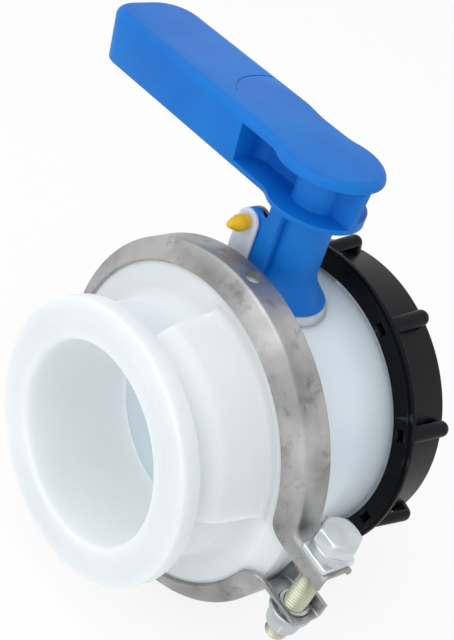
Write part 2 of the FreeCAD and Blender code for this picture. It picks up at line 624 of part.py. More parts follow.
SPINDLE_HOLE = "spindle_d + 2 * fit_gap"
PIVOT_HOLE = "pivot_d + 2 * seat_gap"
GLAND_HOLE = "gland_d + 2 * seat_gap"
HEAD_HOLE = "pivot_head_d + 2 * seat_gap"
CLIP_Z = "(pivot_head_z + pivot_head_t + seat_gap)"
BELL_TOP = f"({BELL_Z} + bell_rim + bell_slope)"
body_cuts = [
    chamber,
    rod("bell_clearance", "bell_d + 2 * run_gap", "boss_z", BELL_TOP + " + run_gap"),
    gasket_groove,
    rod("spindle_hole", SPINDLE_HOLE, "hub_z - 5", "boss_z + 1"),
    rod("gland_hole", GLAND_HOLE, "shoulder_z - seat_gap", "boss_z + 1"),
    rod("pivot_hole", PIVOT_HOLE, "-pivot_boss_z", "-hub_z + 5"),
    rod("pivot_head_hole", HEAD_HOLE, "-pivot_boss_z - 1", "-pivot_head_z"),
    rod("clip_groove", HEAD_HOLE + " + 2 * clip_bite", f"-({CLIP_Z} + clip_t + seat_gap)",
        f"-({CLIP_Z} - seat_gap)"),
    rod("lug_hole", "pin_d + 2 * seat_gap", f"{LUG_X} - 1", f"{LUG_X} + lug_t + 1",
        at=("lug_y", "pin_z"), axis="X"),
]
body_solid = fuse("body_solid", outside, boss, pivot_boss, lug, lug_top)
keep("valve_body", fuse("valve_body", cut("body_bored", body_solid, *body_cuts),
                        closed_stop, open_stop))

# ---------------------------------------------------------------- disc and its seal
DISC_FRONT = "(stem_x - disc_offset - disc_t / 2)"
DISC_BACK = "(stem_x - disc_offset + disc_t / 2)"
RING_BED = "ring_d / 2 - ring_depth - seat_gap"
plate = revolved("disc_plate", "X", [
    (DISC_FRONT, "0"),
    (DISC_FRONT, "disc_d / 2 - disc_bevel"),
    (DISC_FRONT + " + disc_bevel", "disc_d / 2"),
    (SEAT_X + " - ring_w / 2 - seat_gap", "disc_d / 2"),
    (SEAT_X + " - ring_w / 2 - seat_gap", RING_BED),
    (SEAT_X + " + ring_w / 2 + seat_gap", RING_BED),
    (SEAT_X + " + ring_w / 2 + seat_gap", "disc_d / 2"),
    (DISC_BACK, "disc_d / 2"),
    (DISC_BACK, "0"),
])
front_room = block("disc_front_room", ("stem_x - hub_d", "-hub_d", "-hub_z - 1"),
                   (SEAT_X + " + ring_w / 2 + seat_gap", "hub_d", "hub_z + 1"))
hub = cut("disc_hub", rod("disc_hub_round", "hub_d", "-hub_z", "hub_z"), front_room)
HALF_SOCKET = "(square_w / 2 + seat_gap)"
socket = block("disc_socket", (f"stem_x - {HALF_SOCKET}", f"-{HALF_SOCKET}", "spindle_foot - 0.5"),
               (f"stem_x + {HALF_SOCKET}", HALF_SOCKET, "hub_z + 1"))
pivot_socket = rod("disc_pivot_socket", "pivot_d + 2 * fit_gap", "-hub_z - 1",
                   "-pivot_top + run_gap")
keep("disc", cut("disc", fuse("disc_solid", plate, hub), socket, pivot_socket))

ring = revolved("disc_seal", "X", [
    (SEAT_X + " - ring_w / 2", "ring_d / 2 - ring_depth"),
    (SEAT_X + " - ring_w / 2", "ring_d / 2"),
    (SEAT_X + " + ring_w / 2", "ring_d / 2"),
    (SEAT_X + " + ring_w / 2", "ring_d / 2 - ring_depth"),
])
soften(ring, "disc_seal_round", "ring_w * 0.45", any_of(
    hoop(SEAT_X + " - ring_w / 2", "ring_d"), hoop(SEAT_X + " + ring_w / 2", "ring_d")))
keep("disc_seal", ring)

# ---------------------------------------------------------------- spindle, gland and O-rings
GROOVE_D = "(spindle_d - 2 * oring_t - 2 * seat_gap)"
GROOVE_HALF = "(oring_t / 2 + seat_gap)"


def square(name, base, top, width="square_w"):
    """A square bar on the spindle axis."""
    return block(name, (f"stem_x - {width} / 2", f"-{width} / 2", base),
                 (f"stem_x + {width} / 2", f"{width} / 2", top))


def groove(name, diameter, height):
    """A ring that leaves an O-ring groove in a shaft on the spindle axis."""
    around = rod(name + "_around", f"{diameter} + 4", f"{height} - {GROOVE_HALF}",
                 f"{height} + {GROOVE_HALF}")
    floor = rod(name + "_floor", f"{diameter} - 2 * oring_t - 2 * seat_gap",
                f"{height} - {GROOVE_HALF}", f"{height} + {GROOVE_HALF}")
    return cut(name, around, floor)


def oring(name, diameter, height):
    """An O-ring in a groove of a shaft on the spindle axis."""
    return solid("Part::Torus", name, ("stem_x", 0, height), Radius1=f"({diameter} - oring_t) / 2",
                 Radius2="oring_t / 2")


spindle = fuse("spindle_solid",
               square("spindle_foot_square", "spindle_foot", "spindle_square_z"),
               rod("spindle_round", "spindle_d", "spindle_square_z", "spindle_grip_z"),
               rod("spindle_shoulder", "shoulder_d", "shoulder_z", "shoulder_z + shoulder_t"),
               square("spindle_top_square", "spindle_grip_z", "spindle_top"))
keep("spindle", cut("spindle", spindle,
                    groove("spindle_low_groove", "spindle_d", "oring_low"),
                    groove("spindle_high_groove", "spindle_d", "oring_low + oring_step")))
pair = doc.addObject("Part::Compound", "spindle_orings")
pair.Links = [oring("spindle_oring_low", "spindle_d", "oring_low"),
              oring("spindle_oring_high", "spindle_d", "oring_low + oring_step")]
keep("spindle_orings", pair)

GLAND_Z = "(shoulder_z + shoulder_t + seat_gap)"
keep("gland_bush", cut("gland_bush",
                       rod("gland_outside", "gland_d", GLAND_Z, "boss_z + gland_rise"),
                       rod("gland_bore", "spindle_d + 2 * run_gap", f"{GLAND_Z} - 1",
                           "boss_z + gland_rise + 1")))

# ---------------------------------------------------------------- lower pivot
pivot = fuse("pivot_solid", rod("pivot_pin", "pivot_d", "-pivot_head_z", "-pivot_top"),
             rod("pivot_head", "pivot_head_d", "-(pivot_head_z + pivot_head_t)", "-pivot_head_z"))
keep("lower_pivot", cut("lower_pivot", pivot, groove("pivot_groove", "pivot_d", "-oring_low")))
keep("lower_oring", oring("lower_oring", "pivot_d", "-oring_low"))

CLIP_D = f"({HEAD_HOLE} + 2 * clip_bite - 2 * seat_gap)"
clip_span = (f"-({CLIP_Z} + clip_t)", f"-{CLIP_Z}")
keep("retaining_clip", cut(
    "retaining_clip",
    rod("clip_outside", CLIP_D, *clip_span),
    rod("clip_inside", f"{CLIP_D} - 2 * clip_w", f"{clip_span[0]} - 1", f"{clip_span[1]} + 1"),
    block("clip_mouth", ("stem_x", "-clip_w", f"{clip_span[0]} - 1"),
          (f"stem_x + {CLIP_D}", "clip_w", f"{clip_span[1]} + 1"))))

# ---------------------------------------------------------------- lever
NEAR_X = "(stem_x + lever_shift - lever_w / 2)"
FAR_X = "(stem_x + lever_shift + lever_w / 2)"
TAPER_RUN = "(lever_top - lever_base) * tan(lever_taper * 1 deg)"
WEB_X = "(stem_x - window_back + lever_wall)"


def tapered(name, points, top, base):
    """An upright body narrowing downwards with the lever's taper, its outline given at the top."""
    body = doc.addObject("PartDesign::Body", name)
    sketch = outline(body, name + "_outline", "XY_Plane", points, offset=top)
    pad = body.newObject("PartDesign::Pad", name + "_pad")
    pad.Profile = sketch
    pad.Reversed = True
    bind(pad, Length=f"({top}) - ({base})", TaperAngle="-lever_taper")
    doc.recompute()
    return body


def upright_at(x, y):
    """A test for the slanting corner edge whose upper end is at a place."""
    spot = Vector(value_of(x), value_of(y), value_of("lever_top"))
    return lambda edge: any(vertex.Point.distanceToPoint(spot) < 0.01 for vertex in edge.Vertexes) \
        and abs(edge.Vertexes[0].Z - edge.Vertexes[-1].Z) > 1


def level_at(height):
    """A test for edges that lie flat at a height."""
    level = value_of(height)
    return lambda edge: all(abs(edge.valueAt(at).z - level) < 0.01
                            for at in (edge.FirstParameter, edge.LastParameter))


grip = tapered("grip", [
    (NEAR_X, "0"),
    (NEAR_X, "lever_len"),
    (FAR_X, "lever_len"),
    (FAR_X, "waist_end"),
    (FAR_X + " - waist_in", "waist_start"),
    (FAR_X + " - waist_in", "0"),
], "lever_top", "lever_base")
soften(grip, "grip_near_corner", "tip_near_r", upright_at(NEAR_X, "lever_len"))
soften(grip, "grip_far_corner", "tip_far_r", upright_at(FAR_X, "lever_len"))
soften(grip, "grip_crown", "lever_crown", level_at("lever_top"))

lever_head = revolved("lever_head", "Z", [
    ("0", "lever_base"),
    (f"lever_head_d / 2 - {TAPER_RUN}", "lever_base"),
    ("lever_head_d / 2", "lever_top"),
    ("0", "lever_top"),
])
soften(lever_head, "lever_head_crown", "lever_crown", hoop("lever_top", "lever_head_d", "z"))
bind(lever_head, Placement__Base__x="stem_x")

hollow = tapered("grip_hollow", [
    (NEAR_X + " + lever_wall", "grip_hollow_y"),
    (NEAR_X + " + lever_wall", "lever_len - lever_wall"),
    (FAR_X + " - lever_wall", "lever_len - lever_wall"),
    (FAR_X + " - lever_wall", "waist_end"),
    (FAR_X + " - waist_in - lever_wall", "waist_start"),
    (FAR_X + " - waist_in - lever_wall", "sleeve_d"),
    (WEB_X, "sleeve_d"),
    (WEB_X, "grip_hollow_y"),
], "lever_top - lever_plate", "lever_base - 1")
corner = value_of("lever_top - lever_plate")
soften(hollow, "grip_hollow_corners", "tip_near_r - lever_wall", lambda edge: any(
    vertex.Y > value_of("lever_len - lever_wall") - 0.01 and abs(vertex.Z - corner) < 0.01
    for vertex in edge.Vertexes) and abs(edge.Vertexes[0].Z - edge.Vertexes[-1].Z) > 1)
cross_ribs = [block(f"cross_rib_{number}",
                    ("stem_x - lever_w", f"{place} - lever_rib / 2", "lever_base + lever_rib_up"),
                    ("stem_x + lever_w", f"{place} + lever_rib / 2", "lever_top"))
              for number, place in enumerate((
                  "grip_hollow_y + (lever_len - grip_hollow_y) / 3",
                  "grip_hollow_y + (lever_len - grip_hollow_y) * 2 / 3"), start=1)]
hollow_room = cut("grip_hollow_room", hollow, *cross_ribs)

head_room_cone = solid("Part::Cone", "head_room_cone", ("stem_x", 0, "lever_base - 1"),
                       Radius1=f"lever_head_d / 2 - {TAPER_RUN} - lever_wall",
                       Radius2="lever_head_d / 2 - lever_wall",
                       Height="lever_top - lever_plate - lever_base + 1")
head_room_rest = block("head_room_rest", ("stem_x - lever_w", "-lever_w", "lever_base - 2"),
                       (WEB_X, "lever_w", "lever_top"))
head_room_column = rod("head_room_column", "sleeve_d", "lever_base - 2", "lever_top")
head_room = cut("head_room", head_room_cone, head_room_rest, head_room_column)

window = block("lever_window", ("stem_x - lever_w", "-lever_w", "lever_base + lever_floor"),
               ("stem_x - window_back", "window_end", "lever_top - lever_plate"))
shell = cut("lever_shell", fuse("lever_outside", grip, lever_head), hollow_room, head_room, window)

bell = revolved("bell", "Z", [
    ("0", BELL_Z),
    ("bell_d / 2", BELL_Z),
    ("bell_d / 2", f"{BELL_Z} + bell_rim"),
    ("sleeve_d / 2", BELL_TOP),
    ("0", BELL_TOP),
])
bind(bell, Placement__Base__x="stem_x")
sleeve = rod("lever_sleeve", "sleeve_d", BELL_TOP + " - 1", "lever_top - lever_plate / 2")

LEVER_LUG_X = f"({LUG_X} + lug_t + lug_gap / 2)"
LUG_END = "(lug_y + lug_w / 2)"
lug_span = (LEVER_LUG_X, f"{LEVER_LUG_X} + lever_lug_t")
lever_lug = [
    block("lever_web", (lug_span[0], "lever_lug_y", BELL_ROOM_TOP + " + 0.5"),
          ("stem_x - sleeve_d / 2 + lever_web_in", "lever_web_y", "lever_base + lever_floor / 2")),
    block("lever_lug_low", (lug_span[0], "lever_lug_y", BELL_TOP + " - 0.5"),
          (lug_span[1], LUG_END, "lever_lug_z - lever_lug_r")),
    block("lever_lug_high", (lug_span[0], "lever_lug_y", BELL_TOP),
          (lug_span[1], f"{LUG_END} - lever_lug_r", "lever_lug_z")),
    rod("lever_lug_corner", "2 * lever_lug_r", *lug_span,
        at=(f"{LUG_END} - lever_lug_r", "lever_lug_z - lever_lug_r"), axis="X"),
]
lever_solid = fuse("lever_solid", shell, bell, sleeve, *lever_lug)
tooth = sector("lever_tooth", STOP_IN, f"({BELL_ROOM_D} + bell_wall / 2) / 2", BELL_Z,
               BELL_ROOM_TOP + " + 0.3", f"{TOOTH_AT} - stop_w / 2", "stop_w")
bored = cut("lever_bored", lever_solid,
            rod("bell_room", BELL_ROOM_D, BELL_Z + " - 1", BELL_ROOM_TOP),
            rod("lever_round_bore", "spindle_d + 2 * seat_gap", BELL_Z, "spindle_grip_z + seat_gap"),
            square("lever_socket", "spindle_grip_z - 1", "spindle_top + seat_gap",
                   "(square_w + 2 * seat_gap)"),
            rod("lever_lug_hole", "pin_d + 2 * seat_gap", f"{lug_span[0]} - 0.1",
                f"{lug_span[1]} + 0.1", at=("lug_y", "pin_z"), axis="X"))
keep("lever_handle", fuse("lever_handle", bored, tooth))

# ---------------------------------------------------------------- seal pin
BARB_X = f"({LUG_X} - barb_reach)"
barb = solid("Part::Cone", "pin_barb", (f"{BARB_X} - barb_len", "lug_y", "pin_z"), ALONG_X,
             Radius1="barb_tip_d / 2", Radius2="barb_d / 2", Height="barb_len")
keep("seal_pin_head", fuse("seal_pin_head", barb,
                           rod("pin_front_shank", "pin_d", f"{BARB_X} - 1", f"{LUG_X} + lug_t",
                               at=("lug_y", "pin_z"), axis="X")))
TAIL_X = f"({lug_span[1]} + seat_gap)"
keep("seal_pin_tail", fuse(
    "seal_pin_tail",
    rod("pin_rear_shank", "pin_d", LEVER_LUG_X, f"{TAIL_X} + 0.5", at=("lug_y", "pin_z"), axis="X"),
    rod("pin_button", "tail_d", TAIL_X, f"{TAIL_X} + tail_t", at=("lug_y", "pin_z"), axis="X")))

# ---------------------------------------------------------------- outlet cap
CAP_IN = "cap_back - cap_wall"
RING_END = "cap_ring_x + cap_ring_t"
FOOT_X = "(rib_end_x - rib_foot)"
cap_shell = revolved("cap_shell", "X", [
    ("cap_front", "thread_d / 2 + run_gap"),
    ("cap_front", "cap_lip_d / 2"),
    ("cap_ring_x", "cap_lip_d / 2"),
    ("cap_ring_x", "cap_ring_d / 2"),
    (RING_END, "cap_ring_d / 2"),
    (RING_END, "cap_skirt_front_d / 2"),
    ("cap_back", "cap_skirt_back_d / 2"),
    ("cap_back", "0"),
    (CAP_IN, "0"),
    (CAP_IN, "thread_d / 2 + run_gap"),
])
soften(cap_shell, "cap_end_round", "cap_round", hoop("cap_back", "cap_skirt_back_d"))

AXIS_R = "(rib_top_d / 2 - rib_d / 2)"
TILT = "atan(rib_rise / (rib_end_x - cap_ring_x))"
bar_rod = solid("Part::Cylinder", "bar_rod", ("cap_ring_x", 0, f"{AXIS_R} - rib_rise"), ALONG_X,
                Radius="rib_d / 2", Height=f"(rib_end_x - rib_d / 2 - cap_ring_x) / cos({TILT})")
bar_rod.setExpression("Placement.Rotation.Angle", linked(f"90 deg - {TILT}"))
bar_top = f"{AXIS_R} - rib_rise * rib_d / 2 / (rib_end_x - cap_ring_x)"
bar_dome = solid("Part::Sphere", "bar_dome", ("rib_end_x - rib_d / 2", 0, bar_top),
                 Radius="rib_d / 2")
bar_post = solid("Part::Cylinder", "bar_post",
                 ("rib_end_x - rib_d / 2", 0, "thread_d / 2 + run_gap + 1"),
                 Radius="rib_d / 2", Height=f"{bar_top} - thread_d / 2 - run_gap - 1")
bar = fuse("bar", bar_rod, bar_dome, bar_post)
tunnel = block("tunnel", ("cap_front - 1", "-port_w / 2", "port_in_d / 2"),
               (FOOT_X, "port_w / 2", "port_out_d / 2"))


def around_cap(name, item):
    """The item repeated at every grip bar."""
    count = int(value_of("rib_count"))
    copies = []
    for number in range(count):
        copy = doc.addObject("Part::Compound", f"{name}_{number + 1}")
        copy.Links = [item]
        copy.Placement = Placement(Vector(), Rotation(Vector(1, 0, 0), 1))
        copy.setExpression("Placement.Rotation.Angle",
                           linked(f"(rib_from + {number} * 360 / rib_count) * 1 deg"))
        copies.append(copy)
    return fuse(name + "s", *copies)


under_bars = revolved("under_bars", "X", [
    (RING_END, "thread_d / 2"),
    (RING_END, f"{AXIS_R} - rib_rise * (1 - cap_ring_t / (rib_end_x - cap_ring_x))"),
    (FOOT_X, bar_top),
    (FOOT_X, "thread_d / 2"),
])
bars = cut("grip_bars", around_cap("grip_bar", bar), under_bars)
keep("outlet_cap", cut("outlet_cap", fuse("cap_solid", cap_shell, bars),
                       around_cap("grip_tunnel", tunnel)))

cap_gasket = revolved("cap_gasket", "X", [
    (OUTLET_X + " + seat_gap", "chamber_d / 2 + cap_gasket_t"),
    (OUTLET_X + " + seat_gap", "thread_d / 2"),
    (CAP_IN + " - seat_gap", "thread_d / 2"),
    (CAP_IN + " - seat_gap", "chamber_d / 2 + cap_gasket_t"),
])
keep("cap_gasket", cap_gasket)

# ---------------------------------------------------------------- checks and output
doc.recompute()
for item in doc.Objects:
    if "Invalid" in item.State or "Error" in item.State:
        raise ValueError(f"{item.Name}: {item.getStatusString()}")
for node, item in parts.items():
    if item.Shape.isNull() or not item.Shape.isValid():
        raise ValueError(f"{node} has no valid shape")
os.makedirs("parts", exist_ok=True)
for node, item in parts.items():
    item.Shape.exportStep(f"parts/{node}.step")
    print(f"{node}: {item.Shape.Volume / 1000:.2f} cm3")
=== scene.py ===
# %% [markdown]
# A tank valve in Blender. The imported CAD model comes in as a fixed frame: every CAD node already
# has its right size and place. The pieces that show are modelled again here with rounded edges,
# threads and moulded details, and the hidden ones keep their CAD shape and get a material.

# %% Load the frame
import math
from math import tau

import bmesh
import bpy
from mathutils import Matrix, Vector


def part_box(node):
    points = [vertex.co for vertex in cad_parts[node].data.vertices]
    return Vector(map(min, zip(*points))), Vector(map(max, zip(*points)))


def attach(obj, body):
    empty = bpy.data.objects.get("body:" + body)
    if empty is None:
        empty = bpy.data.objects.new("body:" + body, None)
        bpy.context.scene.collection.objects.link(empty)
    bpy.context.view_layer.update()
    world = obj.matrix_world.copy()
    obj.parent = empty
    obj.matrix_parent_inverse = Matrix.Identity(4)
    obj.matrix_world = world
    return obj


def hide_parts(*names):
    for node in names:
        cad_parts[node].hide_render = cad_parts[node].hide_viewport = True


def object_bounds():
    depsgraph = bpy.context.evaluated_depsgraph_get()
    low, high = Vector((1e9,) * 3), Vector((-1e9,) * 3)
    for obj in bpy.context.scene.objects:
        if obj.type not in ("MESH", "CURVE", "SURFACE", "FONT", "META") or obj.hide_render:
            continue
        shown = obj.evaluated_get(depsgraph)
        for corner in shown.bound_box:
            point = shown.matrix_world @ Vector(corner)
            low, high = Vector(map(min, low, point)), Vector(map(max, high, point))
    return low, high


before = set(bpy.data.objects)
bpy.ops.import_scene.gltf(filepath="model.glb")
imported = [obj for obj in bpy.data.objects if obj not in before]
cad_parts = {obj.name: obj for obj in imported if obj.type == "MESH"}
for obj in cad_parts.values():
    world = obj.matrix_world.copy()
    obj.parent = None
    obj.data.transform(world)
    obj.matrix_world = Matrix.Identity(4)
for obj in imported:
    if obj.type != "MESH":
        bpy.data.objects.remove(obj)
cad_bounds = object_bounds()
print("CAD nodes:", sorted(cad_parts))

# %% [markdown]
# The maker of such a valve works in millimetres, so this script does too. Each mesh is modelled
# in millimetres and shrunk to metres when it is finished. The main axes come from the CAD nodes'
# boxes.

# %% Axes of the valve
MM = 0.001


def middle_of(node):
    """The middle of a CAD node's box, in millimetres."""
    low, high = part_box(node)
    return (low + high) / (2 * MM)


def reach_of(node, axis):
    """The highest coordinate of a CAD node along an axis, in millimetres."""
    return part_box(node)[1][axis] / MM


STEM_X = middle_of("spindle").x
CLAMP_X = middle_of("clamp_ring").x
BAND_R = reach_of("clamp_ring", 2)
BOSS_TOP = 48.0
print(f"spindle at x {STEM_X:.2f}, clamp at x {CLAMP_X:.2f}, clamp radius {BAND_R:.2f}")

# %% [markdown]
# Turned and moulded parts start as an outline. An outline here is a wire of straight edges in the
# XZ plane, and a vertex bevel rounds the corners that a real tool would round. The bevel's offset
# is how far the round eats into both edges, so it is worked out from the wanted radius.

# %% Outline helpers
ROUND_STEPS = 6


def round_corner(bm, vert, radius, steps=ROUND_STEPS):
    """Rounds one corner of a wire."""
    first, second = (edge.other_vert(vert).co - vert.co for edge in vert.link_edges)
    reach = radius / math.tan(first.angle(second) / 2)
    bmesh.ops.bevel(bm, geom=[vert], offset=reach, offset_type="OFFSET", segments=steps,
                    profile=0.5, affect="VERTICES", material=-1)


def outline(points, rounds=None, closed=True):
    """A wire through (along, out) points, with a radius at some of its corners."""
    bm = bmesh.new()
    corners = [bm.verts.new((along, 0.0, out)) for along, out in points]
    for start, end in zip(corners, corners[1:] + corners[:1] if closed else corners[1:]):
        bm.edges.new((start, end))
    for index, radius in (rounds or {}).items():
        round_corner(bm, corners[index], radius)
    return bm


def turn(bm, steps, axis=(1, 0, 0)):
    """Spins the wire a full turn about an axis through the origin."""
    bmesh.ops.spin(bm, geom=bm.verts[:] + bm.edges[:], cent=(0, 0, 0), axis=axis, angle=tau,
                   steps=steps, use_merge=True)
    bmesh.ops.remove_doubles(bm, verts=bm.verts, dist=1e-4)
    bmesh.ops.delete(bm, geom=[edge for edge in bm.edges if not edge.link_faces], context="EDGES")
    bmesh.ops.recalc_face_normals(bm, faces=bm.faces)
    return bm


def move(bm, offset):
    bmesh.ops.translate(bm, verts=bm.verts, vec=offset)
    return bm


def rotate(bm, angle, axis):
    """Turns a mesh about an axis through the origin, by an angle in radians."""
    bmesh.ops.rotate(bm, verts=bm.verts, cent=(0, 0, 0), matrix=Matrix.Rotation(angle, 3, axis))
    return bm


def upright(points, rounds, steps, centre=(0.0, 0.0)):
    """A piece turned about a vertical axis, from (out, up) points."""
    bm = turn(outline(points, rounds), steps, axis=(0, 0, 1))
    return move(bm, (*centre, 0.0))


# %% [markdown]
# Blender's Boolean modifier cuts windows and holes. It is applied at once, so that the mesh which
# follows is plain and its new edges can be bevelled like any others.

# %% Solid helpers
def slab(low, high):
    """A box between two corners."""
    bm = bmesh.new()
    size = Vector(high) - Vector(low)
    bmesh.ops.create_cube(bm, size=1.0)
    bmesh.ops.scale(bm, verts=bm.verts, vec=size)
    return move(bm, (Vector(high) + Vector(low)) / 2)


def post(radius, low, high, steps=32, axis="Z"):
    """A round bar along Z or X between two stations, its middle on the axis."""
    bm = bmesh.new()
    bmesh.ops.create_cone(bm, cap_ends=True, segments=steps, radius1=radius, radius2=radius,
                          depth=high - low)
    move(bm, (0, 0, (high + low) / 2))
    if axis == "X":
        rotate(bm, tau / 4, "Y")
    return bm


def join(*meshes):
    """All the meshes in the first one."""
    whole = meshes[0]
    for bm in meshes[1:]:
        passing = bpy.data.meshes.new("passing")
        bm.to_mesh(passing)
        bm.free()
        whole.from_mesh(passing)
        bpy.data.meshes.remove(passing)
    return whole


def combine(base, tool, operation="DIFFERENCE"):
    """The base cut by, joined to or trimmed to the tool."""
    objects = []
    for name, bm in (("base", base), ("tool", tool)):
        mesh = bpy.data.meshes.new(name)
        bm.to_mesh(mesh)
        bm.free()
        item = bpy.data.objects.new(name, mesh)
        bpy.context.scene.collection.objects.link(item)
        objects.append(item)
    boolean = objects[0].modifiers.new("boolean", "BOOLEAN")
    boolean.object = objects[1]
    boolean.operation = operation
    boolean.solver = "EXACT"
    result = bmesh.new()
    result.from_object(objects[0], bpy.context.evaluated_depsgraph_get())
    for item in objects:
        mesh = item.data
        bpy.data.objects.remove(item)
        bpy.data.meshes.remove(mesh)
    bmesh.ops.remove_doubles(result, verts=result.verts, dist=1e-4)
    return result


def break_edges(bm, width, steps=2, above=50.0, wanted=lambda edge: True):
    """Bevels the edges that are sharper than an angle, as every real edge is a little round."""
    limit = math.radians(above)
    sharp = [edge for edge in bm.edges
             if len(edge.link_faces) == 2 and edge.calc_face_angle(0.0) > limit and wanted(edge)]
    bmesh.ops.bevel(bm, geom=sharp, offset=width, offset_type="OFFSET", segments=steps, profile=0.5,
                    affect="EDGES", clamp_overlap=True, material=-1)
    return bm


# %% [markdown]
# Each finished mesh becomes an object that rides on one of the CAD bodies, takes a material and
# stands in for the CAD nodes it was modelled after.

# %% Finish a piece
SMOOTH_BELOW = 34.0


def finish_piece(bm, name, body, material, replaces=()):
    """Turns a mesh in millimetres into a piece in metres."""
    bmesh.ops.remove_doubles(bm, verts=bm.verts, dist=1e-4)
    bmesh.ops.dissolve_degenerate(bm, edges=bm.edges, dist=1e-4)
    for edge in bm.edges:
        edge.smooth = len(edge.link_faces) == 2 and \
            edge.calc_face_angle(0.0) < math.radians(SMOOTH_BELOW)
    for face in bm.faces:
        face.smooth = True
    bmesh.ops.scale(bm, verts=bm.verts, vec=(MM, MM, MM))
    mesh = bpy.data.meshes.new(name)
    bm.to_mesh(mesh)
    bm.free()
    piece = bpy.data.objects.new(name, mesh)
    bpy.context.scene.collection.objects.link(piece)
    mesh.materials.append(material)
    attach(piece, body)
    if replaces:
        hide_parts(*replaces)
    print(f"{name}: {len(mesh.polygons)} faces")
    return piece

# %% [markdown]
# Colours are written as the eye sees them, from 0 to 255, and turned into the linear values that
# the renderer works with.

# %% Colour helper
def linear(red, green, blue):
    """A screen colour as a linear colour with alpha."""
    channels = (value / 255 for value in (red, green, blue))
    return (*(c / 12.92 if c <= 0.04045 else ((c + 0.055) / 1.055) ** 2.4 for c in channels), 1.0)


# %% [markdown]
# Moulded plastic is never one flat colour. Two effects are shared by all the materials, so each
# is a node group: `moulded_grain` gives slow cloudy changes and a fine grain, and
# `handling_marks` gives the rubbed spots and thin scratches of parts that have been in a box with
# others.

# %% Shared effects
def new_group(name, inputs, outputs):
    """An empty shader node group with float inputs (name, default) and float outputs."""
    group = bpy.data.node_groups.new(name, "ShaderNodeTree")
    for label, value in inputs:
        socket = group.interface.new_socket(label, in_out="INPUT", socket_type="NodeSocketFloat")
        socket.default_value = value
    for label in outputs:
        group.interface.new_socket(label, in_out="OUTPUT", socket_type="NodeSocketFloat")
    return group, group.nodes.new("NodeGroupInput"), group.nodes.new("NodeGroupOutput")


def add_node(tree, kind, **values):
    """A node with its settings and its unlinked inputs set by name."""
    node = tree.nodes.new(kind)
    for name, value in values.items():
        if hasattr(node, name):
            setattr(node, name, value)
        else:
            node.inputs[name.replace("_", " ")].default_value = value
    return node


def scaled(tree, scale_socket, factor):
    """The scale times a factor."""
    node = add_node(tree, "ShaderNodeMath", operation="MULTIPLY")
    node.inputs[1].default_value = factor
    tree.links.new(scale_socket, node.inputs[0])
    return node.outputs[0]


def noise(tree, vector, scale_socket, detail, roughness=0.5):
    node = add_node(tree, "ShaderNodeTexNoise", Detail=detail, Roughness=roughness)
    tree.links.new(vector, node.inputs["Vector"])
    tree.links.new(scale_socket, node.inputs["Scale"])
    return node.outputs["Fac"]


def band_pass(tree, value, low, high):
    """Stretches the values between low and high to 0..1 and clamps the rest."""
    node = add_node(tree, "ShaderNodeMapRange", clamp=True)
    node.inputs["From Min"].default_value = low
    node.inputs["From Max"].default_value = high
    tree.links.new(value, node.inputs["Value"])
    return node.outputs["Result"]


GRAIN, grain_in, grain_out = new_group(
    "moulded_grain", [("Cloud size", 30.0), ("Grain size", 900.0)], ["Clouds", "Grain", "Flow"])
place = add_node(GRAIN, "ShaderNodeTexCoord").outputs["Object"]
clouds = noise(GRAIN, place, grain_in.outputs["Cloud size"], 4.0)
fine = noise(GRAIN, place, grain_in.outputs["Grain size"], 2.0, 0.6)
flow = noise(GRAIN, place, scaled(GRAIN, grain_in.outputs["Cloud size"], 0.35), 2.0)
GRAIN.links.new(band_pass(GRAIN, clouds, 0.35, 0.65), grain_out.inputs["Clouds"])
GRAIN.links.new(fine, grain_out.inputs["Grain"])
GRAIN.links.new(band_pass(GRAIN, flow, 0.4, 0.6), grain_out.inputs["Flow"])

MARKS, marks_in, marks_out = new_group(
    "handling_marks", [("Spot size", 60.0), ("Scratch size", 150.0)], ["Spots", "Scratches"])
place = add_node(MARKS, "ShaderNodeTexCoord").outputs["Object"]
spots = noise(MARKS, place, marks_in.outputs["Spot size"], 5.0, 0.65)
MARKS.links.new(band_pass(MARKS, spots, 0.56, 0.74), marks_out.inputs["Spots"])
stretch = add_node(MARKS, "ShaderNodeMapping")
stretch.inputs["Scale"].default_value = (1.0, 0.06, 0.25)
stretch.inputs["Rotation"].default_value = (0.4, 0.2, 0.7)
MARKS.links.new(place, stretch.inputs["Vector"])
lines = noise(MARKS, stretch.outputs["Vector"],
              scaled(MARKS, marks_in.outputs["Scratch size"], 4.0), 3.0)
MARKS.links.new(band_pass(MARKS, lines, 0.66, 0.72), marks_out.inputs["Scratches"])
print("shared effects:", [group.name for group in bpy.data.node_groups])

# %% [markdown]
# Worn or rubbed edges show on metal first. The pointiness of the mesh tells where an edge is, and
# the group turns it into a mask of the raised edges and one of the hollows, where dirt stays.

# %% Edge effect
EDGES, edges_in, edges_out = new_group("raised_edges", [("Softness", 0.03)], ["Edge", "Hollow"])
pointed = add_node(EDGES, "ShaderNodeNewGeometry").outputs["Pointiness"]
for label, middle, sign in (("Edge", 0.52, 1.0), ("Hollow", 0.48, -1.0)):
    away = add_node(EDGES, "ShaderNodeMath", operation="SUBTRACT")
    away.inputs[1].default_value = middle
    EDGES.links.new(pointed, away.inputs[0])
    signed = add_node(EDGES, "ShaderNodeMath", operation="MULTIPLY")
    signed.inputs[1].default_value = sign
    EDGES.links.new(away.outputs[0], signed.inputs[0])
    share = add_node(EDGES, "ShaderNodeMath", operation="DIVIDE", use_clamp=True)
    EDGES.links.new(signed.outputs[0], share.inputs[0])
    EDGES.links.new(edges_in.outputs["Softness"], share.inputs[1])
    EDGES.links.new(share.outputs[0], edges_out.inputs[label])

# %% [markdown]
# A finish is described by a few numbers: two colours that the clouds mix, how shiny it is, how
# deep its grain is, and what marks it carries. One function builds the nodes from them, with the
# plain numbers on the shader's own sockets.

